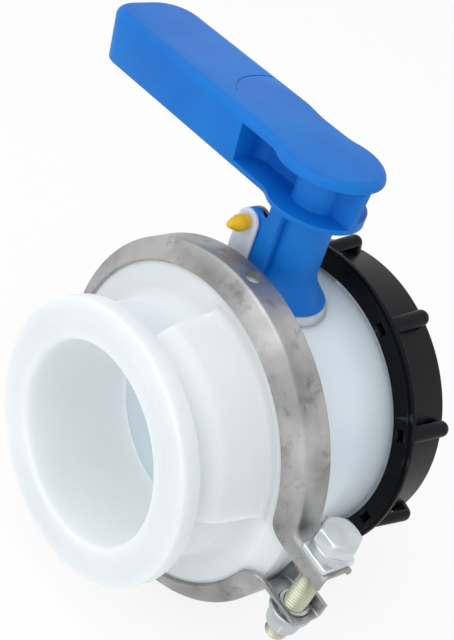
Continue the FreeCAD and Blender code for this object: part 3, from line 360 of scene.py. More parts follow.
# %% Material builder
def place_group(tree, group, **values):
    node = tree.nodes.new("ShaderNodeGroup")
    node.node_tree = group
    for name, value in values.items():
        node.inputs[name.replace("_", " ")].default_value = value
    return node


def mix_colour(tree, factor, first, second, strength=1.0):
    """Mixes two colours by a mask, as far as strength goes."""
    node = add_node(tree, "ShaderNodeMix", data_type="RGBA")
    amount = add_node(tree, "ShaderNodeMath", operation="MULTIPLY")
    amount.inputs[1].default_value = strength
    tree.links.new(factor, amount.inputs[0])
    tree.links.new(amount.outputs[0], node.inputs["Factor"])
    for value, socket in ((first, node.inputs[6]), (second, node.inputs[7])):
        if isinstance(value, tuple):
            socket.default_value = value
        else:
            tree.links.new(value, socket)
    return node.outputs[2]


SCRATCH_SHARE = 0.7


def finish(name, colour, cloud_colour, roughness, grain_depth=0.0, grain_size=900.0,
           cloud_size=30.0, marks=None, edge=None, metallic=0.0, **shader_values):
    """A material from its numbers.

    marks is (colour, strength, spot size) and edge is (colour, strength).
    """
    material = bpy.data.materials.new(name)
    material.use_nodes = True
    tree = material.node_tree
    shader = tree.nodes["Principled BSDF"]
    shader.inputs["Metallic"].default_value = metallic
    for label, value in shader_values.items():
        shader.inputs[label.replace("_", " ")].default_value = value
    grain = place_group(tree, GRAIN, Cloud_size=cloud_size, Grain_size=grain_size)
    base = mix_colour(tree, grain.outputs["Clouds"], colour, cloud_colour)
    if marks:
        rubbed = place_group(tree, MARKS, Spot_size=marks[2])
        base = mix_colour(tree, rubbed.outputs["Spots"], base, marks[0], marks[1])
        base = mix_colour(tree, rubbed.outputs["Scratches"], base, marks[0],
                          marks[1] * SCRATCH_SHARE)
    if edge:
        rim = place_group(tree, EDGES)
        base = mix_colour(tree, rim.outputs["Edge"], base, edge[0], edge[1])
    tree.links.new(base, shader.inputs["Base Color"])
    shine = add_node(tree, "ShaderNodeMapRange")
    shine.inputs["To Min"].default_value = roughness[0]
    shine.inputs["To Max"].default_value = roughness[1]
    tree.links.new(grain.outputs["Flow"], shine.inputs["Value"])
    tree.links.new(shine.outputs["Result"], shader.inputs["Roughness"])
    if grain_depth:
        bump = add_node(tree, "ShaderNodeBump", Strength=1.0, Distance=grain_depth * MM)
        tree.links.new(grain.outputs["Grain"], bump.inputs["Height"])
        tree.links.new(bump.outputs["Normal"], shader.inputs["Normal"])
    return material


# %% [markdown]
# Eleven finishes cover the whole valve. Natural and white polyethylene are glossy and let light
# in, which the subsurface weight gives, and a faint emission is a painted glow that lightens the
# shaded parts of these thick, milky walls, the bore most of all. The blue and black mouldings have
# a fine grain and a soft sheen. The stainless band is rolled sheet with stains. The screw set is
# zinc plated, and the plating of its threads is yellower.

# %% Finishes
WHITE_LIGHT = (1.0, 1.0, 1.0, 1.0)
# The emission of both polyethylene finishes is a painted glow that lightens their shade.
NATURAL_PE = finish(
    "natural_pe", linear(216, 221, 223), linear(211, 217, 219), (0.34, 0.44), 0.03, 500,
    Subsurface_Weight=1.0, Subsurface_Radius=(0.012, 0.012, 0.012), Subsurface_Scale=1.0,
    Emission_Color=WHITE_LIGHT, Emission_Strength=0.13)
WHITE_PE = finish(
    "white_pe", linear(228, 237, 243), linear(221, 232, 239), (0.18, 0.26), 0.02, 600,
    Subsurface_Weight=0.9, Subsurface_Radius=(0.009, 0.0085, 0.008), Subsurface_Scale=1.0,
    Emission_Color=(0.86, 0.96, 1.0, 1.0), Emission_Strength=0.05)
BLUE_PLASTIC = finish(
    "blue_plastic", linear(8, 117, 208), linear(5, 106, 198), (0.4, 0.52), 0.05, 1500,
    edge=(linear(40, 150, 238), 0.35), Specular_IOR_Level=0.22)
BLACK_PLASTIC = finish(
    "black_plastic", linear(11, 12, 16), linear(8, 9, 12), (0.28, 0.4), 0.05, 1200,
    edge=(linear(62, 65, 70), 0.6), Specular_IOR_Level=0.09)
YELLOW_PLASTIC = finish(
    "yellow_plastic", linear(238, 190, 22), linear(228, 176, 14), (0.35, 0.5), 0.03)
STAINLESS = finish(
    "stainless_band", linear(184, 184, 183), linear(138, 138, 138), (0.34, 0.5), 0.02, 700,
    cloud_size=45.0, marks=(linear(92, 91, 90), 0.6, 150.0), metallic=0.9)
ZINC = finish(
    "zinc_plate", linear(205, 212, 214), linear(182, 190, 192), (0.22, 0.4), 0.03, 900,
    cloud_size=90.0, marks=(linear(150, 156, 158), 0.4, 60.0),
    edge=(linear(238, 242, 244), 0.5), metallic=0.9)
THREAD_ZINC = finish(
    "thread_zinc", linear(206, 208, 186), linear(184, 188, 162), (0.24, 0.4), 0.02, 900,
    cloud_size=90.0, marks=(linear(120, 122, 104), 0.5, 120.0), metallic=0.9)
TURNED_STEEL = finish(
    "turned_steel", linear(178, 178, 178), linear(160, 160, 160), (0.25, 0.35), 0.01, metallic=1.0)
# The disc's emission is a painted glow that lightens it where it lies in shade deep in the bore;
# the lower pivot shares this finish.
DISC_PLASTIC = finish(
    "disc_plastic", linear(222, 226, 228), linear(224, 231, 233), (0.3, 0.42), 0.03,
    Emission_Color=WHITE_LIGHT, Emission_Strength=0.27)
SEAL_RUBBER = finish("seal_rubber", linear(24, 24, 25), linear(32, 32, 33), (0.6, 0.75), 0.04)
HIDDEN_FINISHES = {
    "neck_gasket": SEAL_RUBBER, "disc_seal": SEAL_RUBBER, "spindle_orings": SEAL_RUBBER,
    "lower_oring": SEAL_RUBBER, "cap_gasket": SEAL_RUBBER, "disc": DISC_PLASTIC,
    "lower_pivot": DISC_PLASTIC, "gland_bush": WHITE_PE, "spindle": TURNED_STEEL,
    "retaining_clip": TURNED_STEEL,
}
for node, material in HIDDEN_FINISHES.items():
    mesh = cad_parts[node].data
    mesh.materials.clear()
    mesh.materials.append(material)
print("finishes on CAD nodes:", len(HIDDEN_FINISHES))

# %% [markdown]
# The weld neck is turned from one outline: the thick rim that is welded to the tank, the tube,
# and the V-shaped collar that the clamp grips. The outline is a loop, so the spin gives a closed
# ring.

# %% Weld neck outline
STEPS_ROUND = 360
BORE_R, WELD_R, WELD_LEN, NECK_R = 34.0, 47.75, 8.0, 43.2
COLLAR_R, COLLAR_ROOT_R, COLLAR_X, PLATE_X = 60.0, 53.5, 38.2, 34.1
WELD_SLOPE, FACE_R, FACE_STEP, FACE_DROP, JOINT_GAP = 2.4, 41.7, 0.1, 0.7, 0.1
RINGS_ALONG_TUBE = 22
neck = outline([
    (0.0, BORE_R), (0.0, FACE_R), (FACE_STEP, FACE_R + 0.3), (FACE_DROP, WELD_R),
    (WELD_LEN, WELD_R), (WELD_LEN + WELD_SLOPE, NECK_R), (PLATE_X, NECK_R),
    (PLATE_X, COLLAR_ROOT_R), (COLLAR_X, COLLAR_R), (CLAMP_X - JOINT_GAP, COLLAR_R),
    (CLAMP_X - JOINT_GAP, BORE_R),
], {0: 1.6, 1: 0.1, 2: 0.1, 3: 1.0, 4: 2.0, 5: 1.4, 6: 5.0, 7: 0.5, 8: 0.5, 9: 0.3, 10: 0.3})
tube_run = max(neck.edges, key=lambda edge: edge.calc_length()
               if all(abs(v.co.z - NECK_R) < 0.01 for v in edge.verts) else 0.0)
bmesh.ops.subdivide_edges(neck, edges=[tube_run], cuts=RINGS_ALONG_TUBE)
turn(neck, STEPS_ROUND)
print("neck vertices:", len(neck.verts))

# %% [markdown]
# Two opposite quarters of the tube are raised into pads, which stop the neck from turning in the
# welding tool. The tube's rings are pushed outwards there: a soft ramp at the front, a gentle
# cone behind it, and sides that fall off over a couple of degrees.

# %% Raise the pads
PAD_START, PAD_CREST, PAD_CREST_R, PAD_REAR_R = 9.0, 18.8, 47.7, 50.2
PAD_EDGES = ((3.0, 90.0), (183.0, 270.0))
PAD_SIDE, PAD_ROOT = 2.2, 3.5


def eased(share):
    """A share from 0 to 1 that starts and ends softly."""
    share = min(max(share, 0.0), 1.0)
    return share * share * (3 - 2 * share)


def pad_radius(x):
    """The pad's surface at a station of the tube."""
    if x < PAD_CREST:
        return NECK_R + (PAD_CREST_R - NECK_R) * eased((x - PAD_START) / (PAD_CREST - PAD_START))
    cone = PAD_CREST_R + (PAD_REAR_R - PAD_CREST_R) * (x - PAD_CREST) / (PLATE_X - PAD_CREST)
    deep = max(0.0, x - (PLATE_X - PAD_ROOT))
    return cone + PAD_ROOT - math.sqrt(PAD_ROOT ** 2 - deep ** 2)


def pad_share(angle):
    """How much of the pad is there, from the angle in degrees from the top towards -Y."""
    return max(eased((angle - first) / PAD_SIDE) * eased((last - angle) / PAD_SIDE)
               for first, last in PAD_EDGES)


for vert in neck.verts:
    radius = math.hypot(vert.co.y, vert.co.z)
    if not (PAD_START < vert.co.x < PLATE_X - 0.01 and radius > NECK_R - 0.5):
        continue
    share = pad_share(math.degrees(math.atan2(-vert.co.y, vert.co.z)) % 360)
    wanted = max(radius, pad_radius(vert.co.x))
    raised = radius + (wanted - radius) * share
    vert.co.y *= raised / radius
    vert.co.z *= raised / radius
finish_piece(neck, "weld_neck_moulding", "valve", NATURAL_PE, ["weld_neck"])

# %% [markdown]
# The clamp is one strip of stainless sheet, rolled to a V in section and bent outwards at its
# ends into two ears. It is swept: a row of vertices across the strip is extruded from station to
# station along the band, and each station says where the row lies, which way is outwards and how
# far the section has changed from the band's open V to the ear's square channel.

# %% Clamp sections
SHEET = 1.4
BAND_HALF, FLANK_RUN, FLANK_DROP = 5.25, 4.4, 7.0
EAR_HALF, EAR_FACE, EAR_TALL, EAR_LOW, EAR_END = 6.4, 13.2, 6.6, 3.0, 78.4
BEND_R = 4.0
SPLIT_TILT = math.radians(9.0)


def section(half, run, drops, radius):
    """The outer skin from the strip's front edge to its rear one, as (across, outwards)."""
    bm = outline([(-half - run, -drops[0]), (-half, 0.0), (half, 0.0), (half + run, -drops[1])],
                 {1: radius, 2: radius}, closed=False)
    points = sorted(((vert.co.x, vert.co.z) for vert in bm.verts), key=lambda point: point[0]
                    + point[1] * math.copysign(0.001, point[0]))
    bm.free()
    return points


BAND_SECTION = section(BAND_HALF, FLANK_RUN, (FLANK_DROP, FLANK_DROP), 1.6)
EAR_RUN, EAR_CORNER_R = 0.02, 2.2
UPPER_EAR = section(EAR_HALF, EAR_RUN, (EAR_TALL, EAR_LOW), EAR_CORNER_R)
LOWER_EAR = section(EAR_HALF, EAR_RUN, (EAR_LOW, EAR_TALL), EAR_CORNER_R)
print("points across the strip:", len(BAND_SECTION), len(UPPER_EAR), len(LOWER_EAR))

# %% [markdown]
# The stations run along the upper ear, around its bend, around the pipe and out along the lower
# ear. They are worked out in the ear's own frame, `out` along the ears and `up` towards the bolt
# head, and the lower half is the mirror of the upper one.

# %% Clamp stations
BEND_STEPS, BAND_STEPS = 8, 96
bend_up = EAR_FACE + BEND_R
bend_out = math.sqrt((BAND_R + BEND_R) ** 2 - bend_up ** 2)
start_angle = math.atan2(bend_up, bend_out)


def clamp_stations():
    """Stations of the upper half: (out, up), outwards direction, and the share of the ear."""
    stations = [((out, EAR_FACE), Vector((0.0, 1.0)), 1.0)
                for out in (EAR_END, 76.0, 72.0, 68.0, bend_out)]
    turned = tau / 4 - start_angle
    for step in range(1, BEND_STEPS + 1):
        share = step / BEND_STEPS
        angle = -tau / 4 - turned * share
        normal = Vector((-math.cos(angle), -math.sin(angle)))
        centre = Vector((bend_out, bend_up))
        stations.append(((centre - normal * BEND_R)[:], normal, 1.0 - eased(share) * 0.999))
    for step in range(1, BAND_STEPS + 1):
        angle = start_angle + (tau / 2 - start_angle) * step / BAND_STEPS
        normal = Vector((math.cos(angle), math.sin(angle)))
        stations.append(((normal * BAND_R)[:], normal, 0.0))
    return stations


def place_on_pipe(across, out, up):
    """A point of the clamp's own frame in the valve's frame."""
    return Vector((CLAMP_X + across, -out * math.cos(SPLIT_TILT) - up * math.sin(SPLIT_TILT),
                   -out * math.sin(SPLIT_TILT) + up * math.cos(SPLIT_TILT)))


upper = clamp_stations()
lower = [((out, -up), Vector((normal.x, -normal.y)), share)
         for (out, up), normal, share in reversed(upper[:-1])]
stations = upper + lower
print("stations along the strip:", len(stations))

# %% Sweep the strip
def strip_points(station):
    """The row of points across the strip at a station."""
    (out, up), normal, ear = station
    row = []
    for (band_x, band_h), (ear_x, ear_h) in zip(BAND_SECTION, UPPER_EAR if up > 0 else LOWER_EAR):
        across = band_x + (ear_x - band_x) * ear
        height = band_h + (ear_h - band_h) * ear
        row.append(place_on_pipe(across, out + normal.x * height, up + normal.y * height))
    return row


strip = bmesh.new()
row = [strip.verts.new(point) for point in strip_points(stations[0])]
edges = [strip.edges.new(pair) for pair in zip(row, row[1:])]
for station in stations[1:]:
    grown = bmesh.ops.extrude_edge_only(strip, edges=edges)["geom"]
    fresh = {item for item in grown if isinstance(item, bmesh.types.BMVert)}
    row = [next(edge.other_vert(vert) for edge in vert.link_edges if edge.other_vert(vert) in fresh)
           for vert in row]
    edges = [item for item in grown if isinstance(item, bmesh.types.BMEdge)
             and all(vert in fresh for vert in item.verts)]
    for vert, point in zip(row, strip_points(station)):
        vert.co = point
bmesh.ops.recalc_face_normals(strip, faces=strip.faces)
bmesh.ops.solidify(strip, geom=strip.faces[:], thickness=SHEET)
print("strip faces:", len(strip.faces), "thickness", SHEET)

# %% [markdown]
# The ears get their bolt holes and the band its small inspection hole. The sheet's cut edges are
# then broken slightly, as a tumbled stamping has them.

# %% Clamp holes
BOLT_OUT = 71.3
BOLT_PLACE = Matrix.Translation(place_on_pipe(0.0, BOLT_OUT, 0.0)) @ \
    Matrix.Rotation(SPLIT_TILT, 4, "X")


def on_bolt(bm):
    """Puts a mesh made on the Z axis on the bolt's line."""
    bmesh.ops.transform(bm, verts=bm.verts, matrix=BOLT_PLACE)
    return bm


UPPER_HOLE_R, LOWER_HOLE_R = 4.2, 5.6
PEEP_R, PEEP_ANGLE = 2.75, math.radians(5.5)
peep = post(PEEP_R, BAND_R - 8, BAND_R + 8)
rotate(peep, PEEP_ANGLE, "X")
move(peep, (CLAMP_X, 0, 0))
holes = join(on_bolt(post(UPPER_HOLE_R, 6.0, 20.0)), on_bolt(post(LOWER_HOLE_R, -20.0, -6.0)), peep)
clamp = combine(strip, holes)
break_edges(clamp, 0.22, steps=2, above=60)
finish_piece(clamp, "clamp_strip", "valve", STAINLESS, ["clamp_ring"])

# %% [markdown]
# The clamp screw is a fully threaded M8 screw. A thread is an outline of one ridge that is spun
# with a rise: after each turn the ridge meets its own start. It is longer than needed and then
# trimmed to the screw's real envelope, which also gives the chamfered end.

# %% Threaded shank
PITCH, THREAD_R, THREAD_CORE = 1.25, 3.98, 3.28
SCREW_END, HEAD_UNDER, HEAD_T, HEX_ACROSS = -27.5, 19.6, 5.3, 13.0
THREAD_HIGH, PLAIN_LOW = 7.0, 6.8


def threaded_bar(core, crest, pitch, low, high, steps=24):
    """A closed bar with a helical ridge around it, along Z."""
    bm = outline([(core, low), (crest, low + pitch * 0.44), (crest, low + pitch * 0.56),
                  (core, low + pitch)], closed=False)
    turns = math.ceil((high - low) / pitch)
    bmesh.ops.spin(bm, geom=bm.verts[:] + bm.edges[:], cent=(0, 0, 0), axis=(0, 0, 1),
                   dvec=(0, 0, pitch / steps), angle=tau * turns, steps=steps * turns)
    bmesh.ops.remove_doubles(bm, verts=bm.verts, dist=1e-3)
    rim = [edge for edge in bm.edges if len(edge.link_faces) == 1]
    bmesh.ops.holes_fill(bm, edges=rim, sides=0)
    bmesh.ops.triangulate(bm, faces=[face for face in bm.faces if len(face.verts) > 4])
    bmesh.ops.recalc_face_normals(bm, faces=bm.faces)
    return bm


shank = threaded_bar(THREAD_CORE, THREAD_R, PITCH, SCREW_END - 2 * PITCH, THREAD_HIGH + 3.0)
envelope = upright([(0.0, SCREW_END), (THREAD_CORE, SCREW_END), (THREAD_R + 0.05, SCREW_END + 1.1),
                    (THREAD_R + 0.05, THREAD_HIGH), (0.0, THREAD_HIGH)], {1: 0.4}, 48)
threads = combine(shank, envelope, "INTERSECT")
plain = upright([(0.0, PLAIN_LOW), (THREAD_R, PLAIN_LOW), (THREAD_R, HEAD_UNDER + 0.3),
                 (0.0, HEAD_UNDER + 0.3)], {}, 48)
print("thread faces:", len(threads.faces))

# %% [markdown]
# The hexagon is a six-sided prism trimmed by a blunt cone, which leaves the round chamfer line
# that every forged head has on its top. The threads are a piece of their own, as their plating is
# yellower.

# %% Hexagon head
hexagon = bmesh.new()
bmesh.ops.create_cone(hexagon, cap_ends=True, segments=6, radius1=HEX_ACROSS / math.sqrt(3),
                      radius2=HEX_ACROSS / math.sqrt(3), depth=HEAD_T)
move(hexagon, (0, 0, HEAD_UNDER + HEAD_T / 2))
HEAD_TOP = HEAD_UNDER + HEAD_T
crown = upright([(0.0, HEAD_UNDER - 1), (9.0, HEAD_UNDER - 1), (9.0, HEAD_TOP - 1.5),
                 (HEX_ACROSS / 2 - 0.5, HEAD_TOP), (0.0, HEAD_TOP)], {}, 96)
head = break_edges(combine(hexagon, crown, "INTERSECT"), 0.18, above=20,
                   wanted=lambda edge: edge.calc_length() > 0.3)
finish_piece(on_bolt(threads), "clamp_screw_threads", "clamp_screw", THREAD_ZINC)
finish_piece(on_bolt(join(plain, head)), "clamp_screw_head", "clamp_screw", ZINC,
             ["clamp_bolt"])

# %% [markdown]
# Under the head sits a saddle: a square plate that lies on the ear, drawn up into a round collar.
# The collar is turned, with a round on its top edge, and its foot is sunk into the plate.

# %% Saddle under the head
SADDLE_LOW, SADDLE_T, SADDLE_HALF_X, SADDLE_HALF_Y = 13.3, 2.1, 7.0, 6.2
SADDLE_FACE, COLLAR_FOOT_R, SADDLE_COLLAR_R = SADDLE_LOW + SADDLE_T, 6.1, 6.75
saddle_plate = slab((-SADDLE_HALF_X, -SADDLE_HALF_Y, SADDLE_LOW),
                    (SADDLE_HALF_X, SADDLE_HALF_Y, SADDLE_FACE))
upright_edges = [edge for edge in saddle_plate.edges
                 if abs(edge.verts[0].co.z - edge.verts[1].co.z) > 1]
bmesh.ops.bevel(saddle_plate, geom=upright_edges, offset=1.2, offset_type="OFFSET", segments=4,
                profile=0.5, affect="EDGES", material=-1)
saddle_plate = combine(saddle_plate, post(UPPER_HOLE_R, 10.0, 20.0))
break_edges(saddle_plate, 0.5, steps=3)
SADDLE_TOP = SADDLE_FACE + 4.0
saddle_collar = upright([(UPPER_HOLE_R, SADDLE_LOW + 0.4), (COLLAR_FOOT_R, SADDLE_LOW + 0.4),
                         (COLLAR_FOOT_R, SADDLE_FACE - 0.3), (SADDLE_COLLAR_R, SADDLE_FACE - 0.3),
                         (SADDLE_COLLAR_R, SADDLE_TOP), (UPPER_HOLE_R, SADDLE_TOP)],
                        {4: 1.0, 5: 0.4, 3: 0.3}, 64)
saddle = on_bolt(join(saddle_plate, saddle_collar))
finish_piece(saddle, "saddle_under_head", "clamp_saddle", ZINC, ["saddle_washer"])

# %% [markdown]
# The clinch nut is pressed into the lower ear. Its spigot shows as a bright ring inside the ear,
# and its flange and cone show outside.

# %% Clinch nut
NUT_BORE_R, NUT_SPIGOT_R, NUT_FLANGE_R, NUT_CONE_R, NUT_TIP_R = 4.2, 5.35, 7.5, 6.6, 5.7
NUT_TOP, NUT_SEAT, NUT_FLANGE_END, NUT_CONE, NUT_END = -10.7, -13.3, -14.6, -15.8, -21.9
nut = upright([(NUT_BORE_R, NUT_TOP), (NUT_SPIGOT_R, NUT_TOP), (NUT_SPIGOT_R, NUT_SEAT),
               (NUT_FLANGE_R, NUT_SEAT), (NUT_FLANGE_R, NUT_FLANGE_END), (NUT_CONE_R, NUT_CONE),
               (NUT_TIP_R, NUT_END), (NUT_BORE_R, NUT_END)],
              {1: 0.35, 3: 0.5, 4: 0.6, 5: 0.9, 6: 0.9, 7: 0.3}, 64)
finish_piece(on_bolt(nut), "clinch_nut_turned", "valve", ZINC, ["clinch_nut"])

# %% [markdown]
# The valve body is white and glossy. Its main part is one turned ring: the clamp collar, the
# smooth cylinder, the outlet end and, inside, the bore with the seat for the disc and the groove
# for the neck gasket.

# %% Valve body ring
BODY_R, OUTLET_X, CHAMBER_R = 47.8, 109.4, 37.0
SEAT_R, SEAT_X, SEAT_HALF = 36.3, STEM_X - 7.6, 1.2
GROOVE_IN, GROOVE_OUT, GROOVE_X = 44.7, 49.3, CLAMP_X + 4.0
JOINT_X = CLAMP_X + JOINT_GAP
BACK_PLATE_X = 2 * CLAMP_X - PLATE_X
BODY_COLLAR_X = 2 * CLAMP_X - COLLAR_X
body = outline([
    (JOINT_X, COLLAR_R), (BODY_COLLAR_X, COLLAR_R), (BACK_PLATE_X, COLLAR_ROOT_R),
    (BACK_PLATE_X, BODY_R), (OUTLET_X, BODY_R), (OUTLET_X, CHAMBER_R),
    (SEAT_X + SEAT_HALF, CHAMBER_R), (SEAT_X + SEAT_HALF, SEAT_R),
    (SEAT_X - SEAT_HALF, SEAT_R), (SEAT_X - SEAT_HALF, CHAMBER_R), (JOINT_X, CHAMBER_R),
    (JOINT_X, GROOVE_IN), (GROOVE_X, GROOVE_IN), (GROOVE_X, GROOVE_OUT), (JOINT_X, GROOVE_OUT),
], {0: 0.3, 1: 0.5, 2: 0.5, 3: 5.0, 4: 1.0, 5: 0.5, 10: 0.5})
turn(body, STEPS_ROUND)
print("body ring faces:", len(body.faces))

# %% [markdown]
# The outlet carries a coarse thread, which only shows when the cap is screwed off. It is a
# helical ridge with sloping sides that stands on the smooth end.

# %% Outlet thread
RIDGE_PITCH, RIDGE_LOW, RIDGE_CREST = 8.0, BODY_R - 0.6, 49.15
RIDGE_START, RIDGE_TURNS, RIDGE_STEPS = 91.6, 1.7, 96
ridge = outline([(0.0, RIDGE_LOW), (3.6, RIDGE_LOW), (2.6, RIDGE_CREST), (1.0, RIDGE_CREST)],
                {2: 0.3, 3: 0.3})
bmesh.ops.spin(ridge, geom=ridge.verts[:] + ridge.edges[:], cent=(0, 0, 0), axis=(1, 0, 0),
               dvec=(RIDGE_PITCH / RIDGE_STEPS, 0, 0), angle=tau * RIDGE_TURNS,
               steps=int(RIDGE_STEPS * RIDGE_TURNS))
bmesh.ops.holes_fill(ridge, edges=[edge for edge in ridge.edges if len(edge.link_faces) == 1],
                     sides=0)
bmesh.ops.recalc_face_normals(ridge, faces=ridge.faces)
move(ridge, (RIDGE_START, 0, 0))
print("ridge faces:", len(ridge.faces))

# %% [markdown]
# The spindle boss stands on the ring and runs out into it softly. It is turned about the spindle
# with several rings in its margin, and the margin's vertices are then let down onto the cylinder
# below.

# %% Bosses on the ring
BOSS_FLAT_R, BOSS_R, BOSS_SINK, BOSS_FOOT, MARGIN_RINGS = 14.4, 16.0, 0.15, 36.6, 8
SPINDLE_HOLE_R, GLAND_R, GLAND_FLOOR = 6.2, 9.1, 44.3


def cylinder_height(y):
    """How high the body's cylinder is above the axis, y to the side of it."""
    return math.sqrt(BODY_R ** 2 - y ** 2)


margin = [(BOSS_R + (BOSS_FLAT_R - BOSS_R) * ring / MARGIN_RINGS, BOSS_TOP)
          for ring in range(MARGIN_RINGS + 1)]
boss = upright([(SPINDLE_HOLE_R, BOSS_FOOT), (BOSS_R, BOSS_FOOT), *margin, (GLAND_R, BOSS_TOP),
                (GLAND_R, GLAND_FLOOR), (SPINDLE_HOLE_R, GLAND_FLOOR)],
               {MARGIN_RINGS + 3: 0.3}, 192)
for vert in boss.verts:
    out = min((vert.co.xy.length - BOSS_FLAT_R) / (BOSS_R - BOSS_FLAT_R), 1.0)
    if vert.co.z > BOSS_TOP - 0.01 and out > 0:
        drop = BOSS_TOP - cylinder_height(vert.co.y) + BOSS_SINK
        vert.co.z -= drop * (1 - (1 - out) ** 2)
move(boss, (STEM_X, 0.0, 0.0))
PIVOT_R, PIVOT_SEAT_R, PIVOT_BOSS_R, CLIP_R = 5.2, 8.6, 12.0, 9.4
PIVOT_BASE, PIVOT_TOP, PIVOT_SEAT, CLIP_TOP, CLIP_LOW = -50.6, -40.0, -44.6, -47.0, -48.4
pivot_boss = upright([(PIVOT_SEAT_R, PIVOT_BASE), (PIVOT_BOSS_R, PIVOT_BASE),
                      (PIVOT_BOSS_R, PIVOT_TOP), (PIVOT_R, PIVOT_TOP), (PIVOT_R, PIVOT_SEAT),
                      (PIVOT_SEAT_R, PIVOT_SEAT), (PIVOT_SEAT_R, CLIP_TOP), (CLIP_R, CLIP_TOP),
                      (CLIP_R, CLIP_LOW), (PIVOT_SEAT_R, CLIP_LOW)],
                     {0: 0.4, 1: 0.8}, 96, (STEM_X, 0.0))
print("boss faces:", len(boss.faces), "pivot boss faces:", len(pivot_boss.faces))

# %% [markdown]
# Two posts on the boss stop the lever, and a flat lug with a round top stands beside it for the
# seal pin. The lug is a half-round outline that is filled and extruded.

# %% Stops and seal lug
LUG_Y, LUG_HALF, LUG_T, PIN_Z, PIN_R = 13.6, 4.7, 1.6, 69.0, 1.9
BELL_R, BELL_TOP, BELL_GAP = 14.5, 56.9, 0.3
LUG_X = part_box("seal_pin_head")[1].x / MM - LUG_T


def plate_across(points, rounds, low, high):
    """A plate across X from (y, z) points, with rounded corners."""
    bm = outline(points, rounds)
    rotate(bm, tau / 4, "Z")
    bmesh.ops.contextual_create(bm, geom=bm.edges[:])
    grown = bmesh.ops.extrude_face_region(bm, geom=bm.faces[:])["geom"]
    bmesh.ops.translate(bm, vec=(high - low, 0, 0),
                        verts=[item for item in grown if isinstance(item, bmesh.types.BMVert)])
    bmesh.ops.recalc_face_normals(bm, faces=bm.faces)
    return move(bm, (low, 0, 0))


def pin_hole(bm, low, high):
    """The seal pin's hole through a lug."""
    return combine(bm, move(post(PIN_R + 0.1, low - 1, high + 1, 24, "X"), (0, LUG_Y, PIN_Z)))


LUG_TOP, LUG_FOOT, LUG_ROUND = PIN_Z + LUG_HALF, 42.5, LUG_HALF - 0.05
lug = plate_across([(LUG_Y - LUG_HALF, LUG_FOOT), (LUG_Y + LUG_HALF, LUG_FOOT),
                    (LUG_Y + LUG_HALF, LUG_TOP), (LUG_Y - LUG_HALF, LUG_TOP)],
                   {2: LUG_ROUND, 3: LUG_ROUND}, LUG_X, LUG_X + LUG_T)
lug = pin_hole(lug, LUG_X, LUG_X + LUG_T)


def bell_room():
    """The space that the lever's bell turns in."""
    return move(post(BELL_R + BELL_GAP, BOSS_TOP, BELL_TOP + BELL_GAP, 128), (STEM_X, 0, 0))


lug = break_edges(combine(lug, bell_room()), 0.35, steps=3)
body = combine(body, bell_room())


STOP_SWEEP, STOP_R, STOP_OUTER_R, STOP_TOP, STOP_STARTS = 24.0, 9.9, 11.6, 49.6, (213.0, 73.0)


def stop_block(start, low, high, outer):
    """A ring sector about the spindle, from its start angle in degrees."""
    bm = outline([(STOP_R, low), (outer, low), (outer, high), (STOP_R, high)])
    rotate(bm, math.radians(start), "Z")
    bmesh.ops.contextual_create(bm, geom=bm.edges[:])
    bmesh.ops.spin(bm, geom=bm.faces[:], cent=(0, 0, 0), axis=(0, 0, 1),
                   angle=math.radians(STOP_SWEEP), steps=8)
    bmesh.ops.recalc_face_normals(bm, faces=bm.faces)
    return move(bm, (STEM_X, 0, 0))


stops = [stop_block(start, BOSS_TOP - 0.5, STOP_TOP, STOP_OUTER_R) for start in STOP_STARTS]
body = join(body, ridge, boss, pivot_boss, lug, *stops)
finish_piece(body, "valve_body_moulding", "valve", WHITE_PE, ["valve_body"])

# %% [markdown]
# The lever starts from its outline seen from above: a round head around the spindle, a narrower
# waist and a straight grip with rounded corners. Arcs are made by spinning a single vertex, and
# straight edges join them, so that every curve meets the next one smoothly.

# %% Lever outline
LEVER_TOP, LEVER_BASE, LEVER_PLATE, LEVER_FLOOR, LEVER_WALL = 100.8, 81.5, 3.2, 2.2, 2.6
LEVER_R, GRIP_NEAR, GRIP_FAR, GRIP_WAIST, LEVER_LEN = 18.6, -14.9, 18.5, 16.9, 107.4
TIP_NEAR_R, TIP_FAR_R, FLARE_R, NEAR_BLEND_R, FAR_BLEND_R = 10.5, 13.0, 24.0, 8.0, 14.0
WAIST_Y, FLARE_Y = 22.0, 31.0
TAPER = math.tan(math.radians(5.0))


def add_arc(bm, centre, start, sweep, steps):
    """A row of edges along an arc in the XY plane. Returns its first and last vertex."""
    first = bm.verts.new((*start, 0.0))
    made = bmesh.ops.spin(bm, geom=[first], cent=(*centre, 0.0), axis=(0, 0, 1), angle=sweep,
                          steps=steps)
    return first, next(item for item in made["geom_last"] if isinstance(item, bmesh.types.BMVert))


def blend_to_head(side, inset):
    """Where a concave arc joins a side of the grip to the round head: its centre and both ends."""
    radius = NEAR_BLEND_R if side < 0 else FAR_BLEND_R
    centre_x = inset + side * radius
    centre_y = math.sqrt((LEVER_R + radius) ** 2 - centre_x ** 2)
    centre = Vector((centre_x, centre_y))
    return centre, Vector((inset, centre_y)), centre * (LEVER_R / (LEVER_R + radius))


def turned_angle(centre, start, end):
    """The signed angle from start to end about a centre, counter-clockwise positive."""
    first, last = Vector(start) - Vector(centre), Vector(end) - Vector(centre)
    return -first.angle_signed(last)


